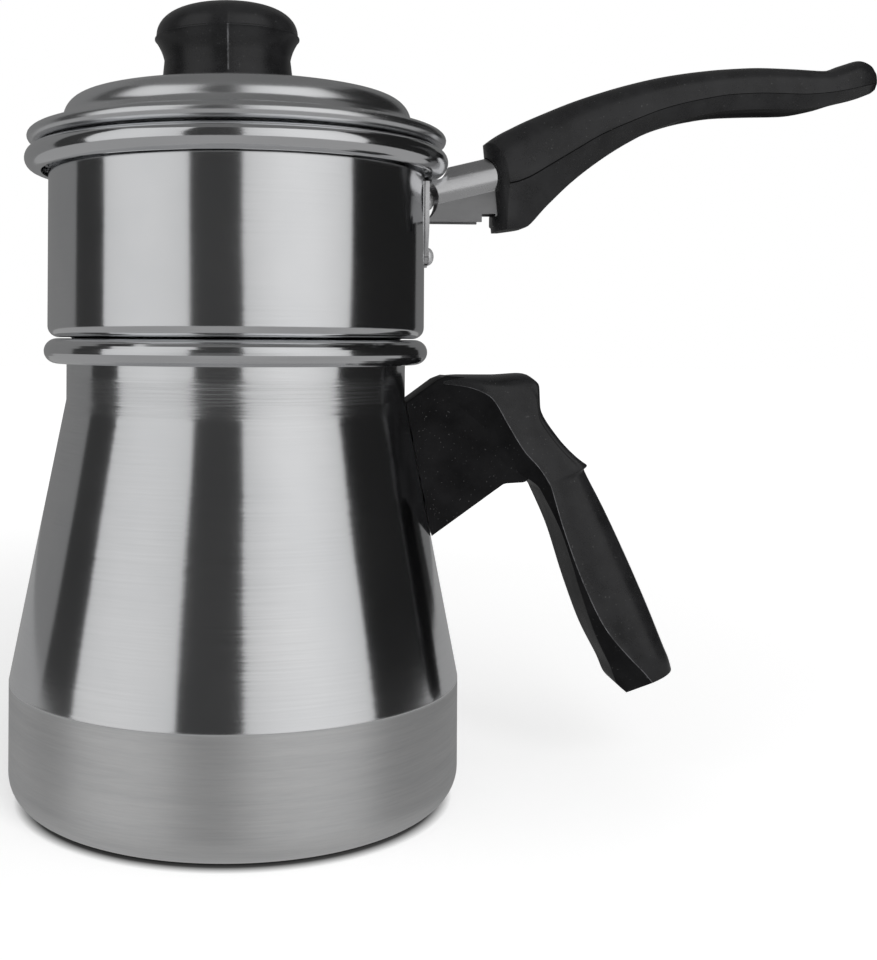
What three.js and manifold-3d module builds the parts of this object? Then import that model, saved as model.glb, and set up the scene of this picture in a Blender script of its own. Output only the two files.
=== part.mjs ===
// Couscous steamer: a flared boiler, a steamer pan standing in its mouth, a loose plate and a lid.
// Millimetres, +Z up. The origin is the centre of the flat base. Both handles point along +X.
import * as THREE from "three";
import { mergeVertices } from "three/addons/utils/BufferGeometryUtils.js";
import Module from "manifold-3d";

const wasm = await Module();
wasm.setup();

// Sheet metal and fits
const SHEET = 1.2; // aluminium wall of boiler, pan, plate and lid
const SEAT_GAP = 0.3; // between pieces that rest on or clamp each other
const SPIGOT_CLEARANCE = 0.7; // pan spigot inside the boiler mouth
const LID_CLEARANCE = 0.5; // lid groove inside the pan mouth
const PLATE_CLEARANCE = 0.5; // loose plate inside the pan corner
const BEAD_CLEARANCE = 0.8; // bracket under the rolled rim
const BEAD_SWEEP = 285; // degrees of curl in a rolled edge
const CURL_STEPS = 8;
const BEND_STEPS = 3;
const ROUND = 36; // facets around the spun shells
const SMALL_ROUND = 14; // facets around fasteners
const KNOB_STEPS = 6;
const ARCH_STEPS = 8;

// Boiler
const BASE_RADIUS = 70.6;
const BASE_CORNER = 5;
const BAND_HEIGHT = 37.5; // straight brushed band above the base
const NECK_RADIUS = 53.6;
const CONE_TOP = 124;
const NECK_HEIGHT = 15.2; // neck corner to the middle of the bead
const BOILER_BEAD_REACH = 4.1; // half the bead's width
const BOILER_BEAD_RISE = 3.9; // half the bead's height

// Steamer pan
const PAN_RADIUS = 59.5;
const PAN_CORNER = 3;
const SPIGOT_BEND = 1.6;
const SPIGOT_DEPTH = 17; // below the ledge
const PAN_HEIGHT = 55.5; // ledge underside to the middle of the rolled rim
const PAN_FLARE = 0.4; // outward lean of the wall below the rim
const PAN_FLARE_HEIGHT = 8;
const PAN_BEAD_REACH = 4.1;
const PAN_BEAD_RISE = 3.9;

// Loose perforated plate
const PLATE_HOLE = 2.6; // radius of a steam hole
const PLATE_HOLE_SIDES = 6;
const PLATE_RINGS = 4;
const PLATE_HOLES_PER_RING = 6; // added with every ring
const PLATE_BORDER = 6.5; // plain rim outside the last ring

// Lid
const LID_EDGE_REACH = 4.6;
const LID_EDGE_RISE = 2.7;
const LID_SINK = 4; // groove below the top of the pan rim
const LID_GROOVE = 3.1; // groove width, middle of sheet to middle of sheet
const LID_SHOULDER = 7; // rounding of the dome's edge
const LID_CROWN_RADIUS = 218;
const LID_RISE = 21.3; // top of the pan rim to the top of the crown

// Knob
const KNOB_SHIFT = 3.4; // knob off the axis of the lid, away from the handles
const KNOB_FOOT = 20.9;
const KNOB_WAIST = 19.8;
const KNOB_RADIUS = 23.05;
const KNOB_WAIST_HEIGHT = 5.8;
const KNOB_SEAM_HEIGHT = 14.3;
const KNOB_HEIGHT = 25;
const KNOB_SEAM_LIP = 0.6;

// Screws, washers and threaded inserts
const SHANK = 2; // radius of every screw
const HEAD = 4;
const HEAD_HEIGHT = 2.6;
const HEAD_CROWN = 2.8; // radius of the flat top
const SLOT_WIDTH = 1;
const SLOT_DEPTH = 1.1;
const WASHER = 4.8;
const WASHER_THICKNESS = 1;
const INSERT = 3.5;
const INSERT_LENGTH = 11;
const INSERT_SINK = 0.6; // insert behind the wall that it clamps
const SCREW_REACH = 10; // thread inside the insert
const WALL_STANDOFF = 0.5; // flat washer or rivet tail against a curved wall

// Handle outlines, out and up, in units of one millimetre
const HANDLE_UNIT = 1;

// Boiler handle: outlines are measured from the boiler's neck corner
const BLOCK_HALF = 8.5; // half width of the block
const BOILER_SCREW_UPPER = 12; // below the neck corner
const BOILER_SCREW_LOWER = 32;
const BLOCK = [
  [-5.4, -5.6], [0.3, -0.4], [9.8, 6.6], [12.9, 7.8], [35.5, 6.2],
  [40, -24], [38.2, -26], [31.4, -26.4], [8, -43.2], [0.3, -48.7],
];
// Each row: inner edge, seam, outer edge, half width inside, half width at the seam
const GRIP = [
  [[11.4, 3.3], [11.6, 5.3], [11.7, 7.7], 8.4, 8.6],
  [[17.7, -2.6], [18.5, 4.5], [18.3, 8.1], 8.5, 10.3],
  [[25, -8.8], [25.8, 1.6], [28, 8.1], 8.5, 12],
  [[29.6, -15], [31.5, -7.1], [38.2, 8.8], 8.5, 12],
  [[32.4, -18.9], [34.4, -12], [42.2, 5.2], 8.5, 12],
  [[34.6, -21.8], [37.4, -16.4], [42.5, -1.6], 8.5, 12],
  [[40.1, -25.6], [41.3, -20.6], [48.2, -11.2], 8.8, 12],
  [[41.6, -26.8], [43.2, -23.2], [54.4, -17.6], 8.9, 12],
  [[42.7, -28], [44.8, -25.8], [58.2, -20.5], 9, 12],
  [[43.2, -29], [45.4, -26.8], [57.7, -21.6], 9.2, 12],
  [[48.9, -40.9], [49.4, -40], [64.5, -34.3], 11, 12],
  [[55, -59.2], [56.1, -57.9], [72.9, -51.7], 11.5, 12],
  [[60.5, -74.2], [63.2, -72], [79.9, -67.6], 10.5, 12],
  [[65.9, -85], [71.2, -81.4], [84.6, -79.2], 9, 11.8],
  [[68.2, -90.4], [76, -86.2], [86.3, -83.2], 8, 10.8],
  [[71.4, -93.4], [79.2, -89.8], [87.2, -86.3], 7.4, 9.8],
];

// Steamer handle: its outline is measured from its front face and from the middle of the pan's rim
const ARM_FACE = 20.5; // front of the handle, from the pan wall
const ARM_NOSE = 13; // radius of the front, seen from above
const ARM_LEAN = 5.7; // degrees that the front leans back
// Each row: lower edge, seam, upper edge, half width below, half width at the seam
const ARM = [
  [[-1.5, -20.9], [-1.5, -6.3], [-1.5, 6.9], 8.6, 9.4],
  [[2, -20.9], [2, -6.3], [2, 9.5], 8.9, 10.1],
  [[4.3, -20.6], [4.3, -6.2], [4.3, 10.9], 8.9, 10.4],
  [[7.8, -20.2], [7.8, -5.6], [7.8, 12.7], 7.6, 10.5],
  [[11.8, -19.6], [11.8, -4.1], [11.8, 14.7], 5.6, 10.5],
  [[19.3, -12.3], [19.3, 0.3], [19.3, 18], 3.8, 10.5],
  [[27.3, -4.7], [27.3, 5.1], [27.3, 21.3], 3.2, 10.5],
  [[35.3, 1.6], [35.3, 9.8], [35.3, 24.1], 3.2, 10.5],
  [[44.8, 7.8], [44.8, 14.1], [44.8, 27], 3.8, 10.5],
  [[56.3, 13.5], [56.3, 18.6], [56.3, 29.8], 5.4, 10.5],
  [[67.8, 16.8], [67.8, 21.5], [67.8, 31.7], 7.4, 10.5],
  [[78, 18.5], [78, 23.2], [78, 32.8], 8.6, 10.6],
  [[89.3, 19.1], [89.3, 23.8], [89.3, 33.4], 8.8, 10.6],
  [[100.3, 19.4], [100.3, 23.7], [100.3, 33.2], 8.2, 10.4],
  [[109.9, 21], [109.9, 24.5], [109.9, 32.8], 6.8, 10],
  [[116.3, 22.9], [116.3, 25.7], [116.3, 34.7], 5.6, 9.2],
  [[122.6, 24.4], [122.6, 27.3], [122.6, 36.5], 4.2, 7.6],
  [[126.2, 25.6], [126.2, 28.3], [126.2, 35.5], 3, 5.8],
  [[128.6, 27.2], [128.6, 29], [128.6, 33.3], 1.6, 3.2],
];

// Bracket: a channel that goes into the handle, a saddle under the rim and a flange on the pan wall
const TANG_SHEET = 1.4;
const TANG_HALF = 7; // half width of the round part of the channel
const TANG_LEG = 5.4; // half width across its straight legs
const TANG_TOP = 3; // channel top at the front of the handle
const TANG_TILT = 13.7; // degrees
const TANG_LOW = -17.9; // lower edges of the channel
const TANG_LIFT = 11; // rise of the lower edges inside the handle
const TANG_DEPTH = 14; // inside the handle
const TANG_NOTCH_WIDTH = 4.4;
const TANG_NOTCH_HEIGHT = 2.6;
const TANG_SCREW_DROP = 8.4; // below the channel's top
const TANG_INSERT_SINK = 0.9; // insert behind the channel's end plate
const LUG_START = 1.7; // locating lug between the channel's legs, behind the front of the handle
const LUG_LENGTH = 4;
const LUG_ROOT = 1.4;
const FLANGE_HALF = 6.5;
const FLANGE_SHEET = 1;
const FLANGE_TOP = -5.2;
const FLANGE_SHOULDER = -19.7; // where the flange starts to narrow
const TONGUE_HALF = 3.6; // round end of the flange
const RIVET_UPPER = -11.1;
const RIVET_LOWER = -28.9;
const RIVET_CUTOUT = 7.5; // radius of the cut in the channel's walls beside the upper rivet
const RIVET_REVEAL = 3; // depth of that cut beyond the flange
const RIVET_SHANK = 1.7;
const RIVET_HEAD = 2.9;
const RIVET_DOME = 2;
const RIVET_TAIL = 0.9;
const RIVET_TAIL_END = 2.3; // radius of the tail's flat end

// Heights and radii that follow from the sizes above
const HALF_SHEET = SHEET / 2;
const BOILER_MOUTH = NECK_RADIUS - SHEET;
const BOILER_BEAD_Z = CONE_TOP + NECK_HEIGHT;
const BOILER_TOP = BOILER_BEAD_Z + BOILER_BEAD_RISE;
const LEDGE = BOILER_TOP + SEAT_GAP; // underside of the pan's ledge
const SPIGOT_RADIUS = BOILER_MOUTH - SPIGOT_CLEARANCE;
const PAN_BEAD_Z = LEDGE + PAN_HEIGHT;
const PAN_MOUTH = PAN_RADIUS + PAN_FLARE - SHEET;
const PAN_TOP = PAN_BEAD_Z + PAN_BEAD_RISE;
const PLATE_RADIUS = PAN_RADIUS - SHEET - PAN_CORNER + HALF_SHEET - PLATE_CLEARANCE;
const PLATE_Z = LEDGE + SHEET + SEAT_GAP;
const LID_EDGE_Z = PAN_TOP + SEAT_GAP + LID_EDGE_RISE;
const LID_WALL = PAN_MOUTH - LID_CLEARANCE - HALF_SHEET; // middle of the groove's outer wall
const LID_STEP = LID_WALL - LID_GROOVE; // middle of the groove's inner wall
const LID_CROWN = PAN_TOP + LID_RISE;

const OUT = new THREE.Vector3(1, 0, 0);
const SIDE = new THREE.Vector3(0, 1, 0);
const UP = new THREE.Vector3(0, 0, 1);
const DOWN = new THREE.Vector2(0, -1); // in a profile of radius and height
const ON_AXIS = 1e-6; // a smaller radius lies on the axis
const FULL_TURN = 2 * Math.PI;
const radians = THREE.MathUtils.degToRad;

// Materials
const polished = () => new THREE.MeshStandardMaterial({ color: 0xc9cacc, metalness: 1, roughness: 0.16 });
const steel = () => new THREE.MeshStandardMaterial({ color: 0xb4b6b9, metalness: 1, roughness: 0.2 });
const brass = () => new THREE.MeshStandardMaterial({ color: 0xb8964e, metalness: 1, roughness: 0.35 });
const phenolic = () => new THREE.MeshStandardMaterial({ color: 0x151516, metalness: 0, roughness: 0.42 });

const steamer = new THREE.Group();

// A closed solid from a geometry, with its shared corners joined
function solid(geometry) {
  geometry.deleteAttribute("normal");
  geometry.deleteAttribute("uv");
  const joined = mergeVertices(geometry, 1e-4);
  const index = joined.index.array;
  const faces = [];
  for (let i = 0; i < index.length; i += 3) {
    const [a, b, c] = [index[i], index[i + 1], index[i + 2]];
    if (a !== b && b !== c && c !== a) faces.push(a, b, c);
  }
  const vertProperties = new Float32Array(joined.attributes.position.array);
  return new wasm.Manifold(new wasm.Mesh({ numProp: 3, vertProperties, triVerts: new Uint32Array(faces) }));
}

function place(name, body, material) {
  const { vertProperties, triVerts } = body.getMesh();
  const geometry = new THREE.BufferGeometry();
  geometry.setAttribute("position", new THREE.BufferAttribute(vertProperties, 3));
  geometry.setIndex(new THREE.BufferAttribute(triVerts, 1));
  geometry.computeVertexNormals();
  const mesh = new THREE.Mesh(geometry, material);
  mesh.name = name;
  steamer.add(mesh);
}

// Spins a profile of radius and height around Z
function turned(profile, facets) {
  const points = profile.map(([radius, height]) => new THREE.Vector2(radius < ON_AXIS ? 0 : radius, height));
  return new THREE.LatheGeometry(points, facets).rotateX(Math.PI / 2);
}

// Turns a geometry from +Z towards a direction and moves it to a point
function aimed(geometry, point, direction) {
  const turn = new THREE.Quaternion().setFromUnitVectors(UP, direction.clone().normalize());
  return geometry.applyQuaternion(turn).translate(point.x, point.y, point.z);
}

function bend(radius, height, reach, rise, from, to, steps) {
  const curve = new THREE.EllipseCurve(radius, height, reach, rise, radians(from), radians(to), to < from);
  return curve.getPoints(steps).map((point) => [point.x, point.y]);
}

// Closed outline of a bent sheet, from the path along the middle of the sheet
function sheetOutline(path) {
  const points = path.map(([radius, height]) => new THREE.Vector2(radius, height));
  const normals = points.slice(1).map((point, i) => {
    const run = point.clone().sub(points[i]).normalize();
    return new THREE.Vector2(run.y, -run.x);
  });
  const right = [];
  const left = [];
  points.forEach((point, i) => {
    const before = point.x < ON_AXIS ? DOWN : normals[Math.max(i - 1, 0)];
    const after = point.x < ON_AXIS ? DOWN : normals[Math.min(i, normals.length - 1)];
    const mitre = before.clone().add(after).multiplyScalar(HALF_SHEET / (1 + before.dot(after)));
    right.push([point.x + mitre.x, point.y + mitre.y]);
    left.unshift([point.x - mitre.x, point.y - mitre.y]);
  });
  const outline = [...right, ...left];
  return path[0][0] < ON_AXIS ? outline : [...outline, outline[0]];
}

// Path of an outward rolled edge that starts on a wall whose middle is at the given radius
function rolledEdge(wall, height, reach, rise) {
  const across = reach - HALF_SHEET;
  const up = rise - HALF_SHEET;
  return bend(wall + across, height, across, up, 180, 180 - BEAD_SWEEP, CURL_STEPS);
}

function spun(path) {
  return solid(turned(sheetOutline(path), ROUND));
}

function rod(radius, from, to) {
  return turned([[0, from], [radius, from], [radius, to], [0, to]], SMALL_ROUND);
}

function box(low, high) {
  const size = high.clone().sub(low);
  const centre = low.clone().add(high).divideScalar(2);
  return new THREE.BoxGeometry(size.x, size.y, size.z).translate(centre.x, centre.y, centre.z);
}

// Extrudes an outline of the X-Z plane to both sides of it
function slab(outline, half) {
  const shape = new THREE.Shape(outline.map(([x, z]) => new THREE.Vector2(x, z)));
  const geometry = new THREE.ExtrudeGeometry(shape, { depth: 2 * half, bevelEnabled: false });
  return geometry.rotateX(Math.PI / 2).translate(0, half, 0);
}

// Sweeps a section through stations; shape moves each section point to its station
function swept(section, stations, shape) {
  const outline = new THREE.Shape(section.map(([x, y]) => new THREE.Vector2(x, y)));
  const steps = stations.length - 1;
  const geometry = new THREE.ExtrudeGeometry(outline, { depth: steps, steps, bevelEnabled: false });
  const corners = geometry.getAttribute("position");
  for (let i = 0; i < corners.count; i += 1) {
    const station = stations[Math.round(corners.getZ(i))];
    corners.setXYZ(i, ...shape(corners.getX(i), corners.getY(i), station));
  }
  return geometry;
}

// Moulded handle: drafted from its inner edge to a seam, rounded from the seam to its outer edge
const MOULDED_ROUNDING = 0.72;
const MOULDED_STEPS = 8;
const MOULDED_SECTION = [[-1, 0], [1, 0]];
for (let i = 0; i <= MOULDED_STEPS; i += 1) {
  const angle = (Math.PI * i) / MOULDED_STEPS;
  const side = Math.sign(Math.cos(angle)) * Math.abs(Math.cos(angle)) ** MOULDED_ROUNDING;
  MOULDED_SECTION.push([side, 1 + Math.sin(angle) ** MOULDED_ROUNDING]);
}

function moulded(rows, originX, originZ) {
  return swept(MOULDED_SECTION, rows, (side, level, [inner, seam, outer, innerHalf, seamHalf]) => {
    const [from, to] = level <= 1 ? [inner, seam] : [seam, outer];
    const share = level <= 1 ? level : level - 1;
    const half = level <= 1 ? innerHalf + (seamHalf - innerHalf) * level : seamHalf;
    const x = originX + HANDLE_UNIT * (from[0] + (to[0] - from[0]) * share);
    const z = originZ + HANDLE_UNIT * (from[1] + (to[1] - from[1]) * share);
    return [x, HANDLE_UNIT * side * half, z];
  });
}

// Screw along +Z: its head's underside is at zero
function screw(reach) {
  const profile = [
    [0, -HEAD_HEIGHT], [HEAD_CROWN, -HEAD_HEIGHT], [HEAD, -HEAD_HEIGHT / 2], [HEAD, 0],
    [SHANK, 0], [SHANK, reach - SHANK / 2], [SHANK / 2, reach], [0, reach],
  ];
  const low = new THREE.Vector3(-SLOT_WIDTH / 2, -2 * HEAD, -2 * HEAD_HEIGHT);
  const high = new THREE.Vector3(SLOT_WIDTH / 2, 2 * HEAD, SLOT_DEPTH - HEAD_HEIGHT);
  return { profile, slot: box(low, high) };
}

function placeScrew(name, reach, point, direction) {
  const { profile, slot } = screw(reach);
  const body = solid(aimed(turned(profile, SMALL_ROUND), point, direction));
  place(name, body.subtract(solid(aimed(slot, point, direction))), steel());
}

// Ring along +Z with clearance around the screw
function placeRing(name, radius, from, to, point, direction, material) {
  const bore = SHANK + SEAT_GAP;
  const profile = [[bore, from], [radius, from], [radius, to], [bore, to], [bore, from]];
  place(name, solid(aimed(turned(profile, SMALL_ROUND), point, direction)), material);
}

function along(point, direction, distance) {
  return point.clone().addScaledVector(direction, distance);
}

// Boiler
const coneRun = new THREE.Vector2(NECK_RADIUS - BASE_RADIUS, CONE_TOP - BAND_HEIGHT);
const coneNormal = new THREE.Vector3(coneRun.y, 0, -coneRun.x).normalize();
const baseBend = BASE_CORNER - HALF_SHEET;
const boilerPath = [
  [0, HALF_SHEET],
  ...bend(BASE_RADIUS - BASE_CORNER, BASE_CORNER, baseBend, baseBend, -90, 0, BEND_STEPS + 1),
  [BASE_RADIUS - HALF_SHEET, BAND_HEIGHT],
  [NECK_RADIUS - HALF_SHEET, CONE_TOP],
  ...rolledEdge(NECK_RADIUS - HALF_SHEET, BOILER_BEAD_Z, BOILER_BEAD_REACH, BOILER_BEAD_RISE),
];
let boilerBody = spun(boilerPath);

// Space that the boiler's wall takes from the handle
const boilerSpace = solid(turned([
  [0, 0], [BASE_RADIUS + SEAT_GAP, 0], [BASE_RADIUS + SEAT_GAP, BAND_HEIGHT],
  [NECK_RADIUS + SEAT_GAP, CONE_TOP], [NECK_RADIUS + SEAT_GAP, BOILER_TOP], [0, BOILER_TOP],
], ROUND));
const blockOutline = BLOCK.map(([out, up]) => [NECK_RADIUS + HANDLE_UNIT * out, CONE_TOP + HANDLE_UNIT * up]);
let boilerHandle = solid(moulded(GRIP, NECK_RADIUS, CONE_TOP));
boilerHandle = boilerHandle.add(solid(slab(blockOutline, BLOCK_HALF)));
boilerHandle = boilerHandle.subtract(boilerSpace);

const wallBack = SHEET + WALL_STANDOFF; // from the wall's outer face to the washer
const washerBack = wallBack + WASHER_THICKNESS;
const headBack = washerBack + SEAT_GAP;
const insertEnd = INSERT_SINK + INSERT_LENGTH;
const boilerScrews = { upper: BOILER_SCREW_UPPER, lower: BOILER_SCREW_LOWER };
for (const [level, drop] of Object.entries(boilerScrews)) {
  const share = drop / coneRun.y;
  const wall = new THREE.Vector3(NECK_RADIUS - coneRun.x * share, 0, CONE_TOP - drop);
  const hole = solid(aimed(rod(SHANK + SEAT_GAP, -headBack, SEAT_GAP), wall, coneNormal));
  const pocket = solid(aimed(rod(INSERT + SEAT_GAP, -SHEET, insertEnd + SEAT_GAP), wall, coneNormal));
  boilerBody = boilerBody.subtract(hole);
  boilerHandle = boilerHandle.subtract(pocket);
  const head = along(wall, coneNormal, -headBack);
  placeScrew(`boiler_handle_screw_${level}`, headBack + SCREW_REACH, head, coneNormal);
  placeRing(`boiler_handle_washer_${level}`, WASHER, -washerBack, -wallBack, wall, coneNormal, steel());
  placeRing(`boiler_handle_insert_${level}`, INSERT, INSERT_SINK, insertEnd, wall, coneNormal, brass());
}
place("boiler_body", boilerBody, polished());
place("boiler_handle", boilerHandle, phenolic());

// Steamer pan
const panCorner = PAN_RADIUS - HALF_SHEET - PAN_CORNER;
const ledgeMiddle = LEDGE + HALF_SHEET;
const spigotMiddle = SPIGOT_RADIUS - HALF_SHEET;
const ledgeStart = spigotMiddle + SPIGOT_BEND;
const panPath = [
  [spigotMiddle, LEDGE - SPIGOT_DEPTH],
  ...bend(ledgeStart, ledgeMiddle - SPIGOT_BEND, SPIGOT_BEND, SPIGOT_BEND, 180, 90, BEND_STEPS),
  ...bend(panCorner, ledgeMiddle + PAN_CORNER, PAN_CORNER, PAN_CORNER, -90, 0, BEND_STEPS),
  [PAN_RADIUS - HALF_SHEET, PAN_BEAD_Z - PAN_FLARE_HEIGHT],
  ...rolledEdge(PAN_MOUTH + HALF_SHEET, PAN_BEAD_Z, PAN_BEAD_REACH, PAN_BEAD_RISE),
];
let steamerPan = spun(panPath);

// Bracket and long handle
const tangSlope = Math.tan(radians(TANG_TILT));
const tangEnd = ARM_FACE + TANG_DEPTH;
const onPan = (out, half, up) => new THREE.Vector3(PAN_RADIUS + out, half, PAN_BEAD_Z + up);

// Section of the channel: a round top that closes in on straight legs
const LEG_FOOT = -2; // lower end of the legs in the unit section
const archTuck = (margin) => Math.acos((TANG_LEG + margin) / (TANG_HALF + margin));
const archSweep = (margin) => Math.PI + 2 * archTuck(margin);
const ARCH_SECTION = [[Math.cos(archTuck(0)), LEG_FOOT]];
for (let i = 0; i <= ARCH_STEPS; i += 1) {
  const angle = (archSweep(0) * i) / ARCH_STEPS - archTuck(0);
  ARCH_SECTION.push([Math.cos(angle), Math.sin(angle)]);
}
ARCH_SECTION.push([-Math.cos(archTuck(0)), LEG_FOOT]);

// Filled channel between two distances from the pan wall, grown by a margin and lowered at its edges
function arch(from, to, margin, drop) {
  const half = TANG_HALF + margin;
  const stations = [from, ARM_FACE, to].map((out) => {
    const lift = Math.max(0, (out - ARM_FACE) / TANG_DEPTH) * TANG_LIFT;
    const top = TANG_TOP + (out - ARM_FACE) * tangSlope + margin;
    return { x: PAN_RADIUS + out, spring: PAN_BEAD_Z + top - half, low: PAN_BEAD_Z + TANG_LOW + lift - drop };
  });
  return solid(swept(ARCH_SECTION, stations, (side, level, { x, spring, low }) => {
    if (level === LEG_FOOT) return [x, Math.sign(side) * (TANG_LEG + margin), low];
    const seen = Math.atan2(level, side);
    const angle = seen < -Math.PI / 2 ? seen + FULL_TURN : seen;
    const share = (angle + archTuck(0)) / archSweep(0);
    const turn = share * archSweep(margin) - archTuck(margin);
    return [x, half * Math.cos(turn), spring + half * Math.sin(turn)];
  }));
}

const panSpace = solid(turned([
  [0, LEDGE], [PAN_RADIUS + SEAT_GAP, LEDGE], [PAN_RADIUS + SEAT_GAP, PAN_BEAD_Z], [0, PAN_BEAD_Z],
], ROUND));

// The rolled rim, grown by a margin
function rimGrown(margin) {
  const [reach, rise] = [PAN_BEAD_REACH + margin, PAN_BEAD_RISE + margin];
  const ring = bend(PAN_MOUTH + PAN_BEAD_REACH, PAN_BEAD_Z, reach, rise, 0, 360, 2 * CURL_STEPS);
  return solid(turned(ring, ROUND));
}

// Flange: a plate with a round-ended tongue, drawn on the plane that faces the handle
const flangeFace = SEAT_GAP + FLANGE_SHEET; // outer face of the flange, from the pan wall
const flangeShape = new THREE.Shape();
flangeShape.moveTo(-FLANGE_HALF, FLANGE_TOP);
flangeShape.lineTo(-FLANGE_HALF, FLANGE_SHOULDER);
flangeShape.lineTo(-TONGUE_HALF, RIVET_LOWER);
flangeShape.absarc(0, RIVET_LOWER, TONGUE_HALF, Math.PI, FULL_TURN);
flangeShape.lineTo(FLANGE_HALF, FLANGE_SHOULDER);
flangeShape.lineTo(FLANGE_HALF, FLANGE_TOP);
const flange = new THREE.ExtrudeGeometry(flangeShape, {
  depth: flangeFace + PAN_CORNER, bevelEnabled: false, curveSegments: ARCH_STEPS,
});
flange.applyMatrix4(new THREE.Matrix4().makeBasis(SIDE, UP, OUT));
flange.translate(PAN_RADIUS - PAN_CORNER, 0, PAN_BEAD_Z);

// Channel with cut walls, joined to the flange by a saddle that dips under the rim
const channel = arch(0, tangEnd, 0, 0);
const channelInside = arch(flangeFace, tangEnd - TANG_SHEET, -TANG_SHEET, TANG_LIFT);
const cutoutCentre = onPan(flangeFace + RIVET_REVEAL - RIVET_CUTOUT, 0, RIVET_UPPER);
const cutout = turned([
  [0, -2 * TANG_HALF], [RIVET_CUTOUT, -2 * TANG_HALF], [RIVET_CUTOUT, 2 * TANG_HALF], [0, 2 * TANG_HALF],
], ROUND);
const notch = box(
  onPan(ARM_FACE - TANG_NOTCH_WIDTH / 2, -2 * TANG_HALF, TANG_LOW - TANG_NOTCH_HEIGHT),
  onPan(ARM_FACE + TANG_NOTCH_WIDTH / 2, 2 * TANG_HALF, TANG_LOW + TANG_NOTCH_HEIGHT),
);
const walls = channel.subtract(channelInside).subtract(solid(aimed(cutout, cutoutCentre, SIDE)));
const saddle = channel.intersect(rimGrown(BEAD_CLEARANCE + TANG_SHEET));
let bracket = walls.subtract(solid(notch)).add(saddle).add(solid(flange));
bracket = bracket.subtract(panSpace).subtract(rimGrown(BEAD_CLEARANCE));

// Long handle: rounded front, pocket for the channel and a lug between the channel's walls
const noseAxis = new THREE.Vector3(-Math.sin(radians(ARM_LEAN)), 0, Math.cos(radians(ARM_LEAN)));
const noseCentre = onPan(ARM_FACE + ARM_NOSE, 0, 0);
const noseReach = 3 * ARM_NOSE;
const nose = turned([[0, -noseReach], [ARM_NOSE, -noseReach], [ARM_NOSE, noseReach], [0, noseReach]], ROUND);
const beforeNose = box(onPan(0, -ARM_NOSE, -noseReach), onPan(ARM_FACE + ARM_NOSE, ARM_NOSE, noseReach));
const front = solid(beforeNose).subtract(solid(aimed(nose, noseCentre, noseAxis)));
const armPocket = arch(ARM_FACE - TANG_DEPTH, tangEnd + SEAT_GAP, SEAT_GAP, SEAT_GAP);
const lugHalf = TANG_LEG - TANG_SHEET - SEAT_GAP;
const lug = box(
  onPan(ARM_FACE + LUG_START, -lugHalf, TANG_LOW - LUG_ROOT),
  onPan(ARM_FACE + LUG_START + LUG_LENGTH, lugHalf, TANG_LOW + TANG_NOTCH_HEIGHT),
);
let steamerHandle = solid(moulded(ARM, PAN_RADIUS + ARM_FACE, PAN_BEAD_Z));
steamerHandle = steamerHandle.subtract(front).subtract(armPocket).add(solid(lug));

const tangAxis = new THREE.Vector3(1, 0, tangSlope).normalize();
const tangScrew = onPan(tangEnd, 0, TANG_TOP + TANG_DEPTH * tangSlope - TANG_SCREW_DROP);
const tangInsertEnd = TANG_INSERT_SINK + INSERT_LENGTH;
const tangHole = rod(SHANK + SEAT_GAP, -TANG_DEPTH, TANG_SHEET);
bracket = bracket.subtract(solid(aimed(tangHole, tangScrew, tangAxis)));
const insertPocket = rod(INSERT + SEAT_GAP, -INSERT, tangInsertEnd + SEAT_GAP);
steamerHandle = steamerHandle.subtract(solid(aimed(insertPocket, tangScrew, tangAxis)));
const tangHeadBack = TANG_SHEET / tangAxis.x + HEAD * tangSlope + SEAT_GAP;
const tangHead = along(tangScrew, tangAxis, -tangHeadBack);
placeScrew("steamer_handle_screw", tangHeadBack + SCREW_REACH, tangHead, tangAxis);
placeRing("steamer_handle_insert", INSERT, TANG_INSERT_SINK, tangInsertEnd, tangScrew, tangAxis, brass());

// Rivets through the flange and the pan wall
const rivetSeat = flangeFace + SEAT_GAP;
const rivetBack = -SHEET - WALL_STANDOFF;
for (const [level, up] of Object.entries({ upper: RIVET_UPPER, lower: RIVET_LOWER })) {
  const wall = onPan(0, 0, up);
  const profile = [
    [0, rivetBack - RIVET_TAIL], [RIVET_TAIL_END, rivetBack - RIVET_TAIL], [RIVET_HEAD, rivetBack],
    [RIVET_SHANK, rivetBack], [RIVET_SHANK, rivetSeat],
    ...bend(0, rivetSeat, RIVET_HEAD, RIVET_DOME, 0, 90, BEND_STEPS + 1),
  ];
  place(`steamer_rivet_${level}`, solid(aimed(turned(profile, SMALL_ROUND), wall, OUT)), steel());
  const hole = solid(aimed(rod(RIVET_SHANK + SEAT_GAP, rivetBack - RIVET_TAIL, rivetSeat), wall, OUT));
  steamerPan = steamerPan.subtract(hole);
  bracket = bracket.subtract(hole);
}
place("steamer_pan", steamerPan, polished());
place("steamer_bracket", bracket, steel());
place("steamer_handle", steamerHandle, phenolic());

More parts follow.
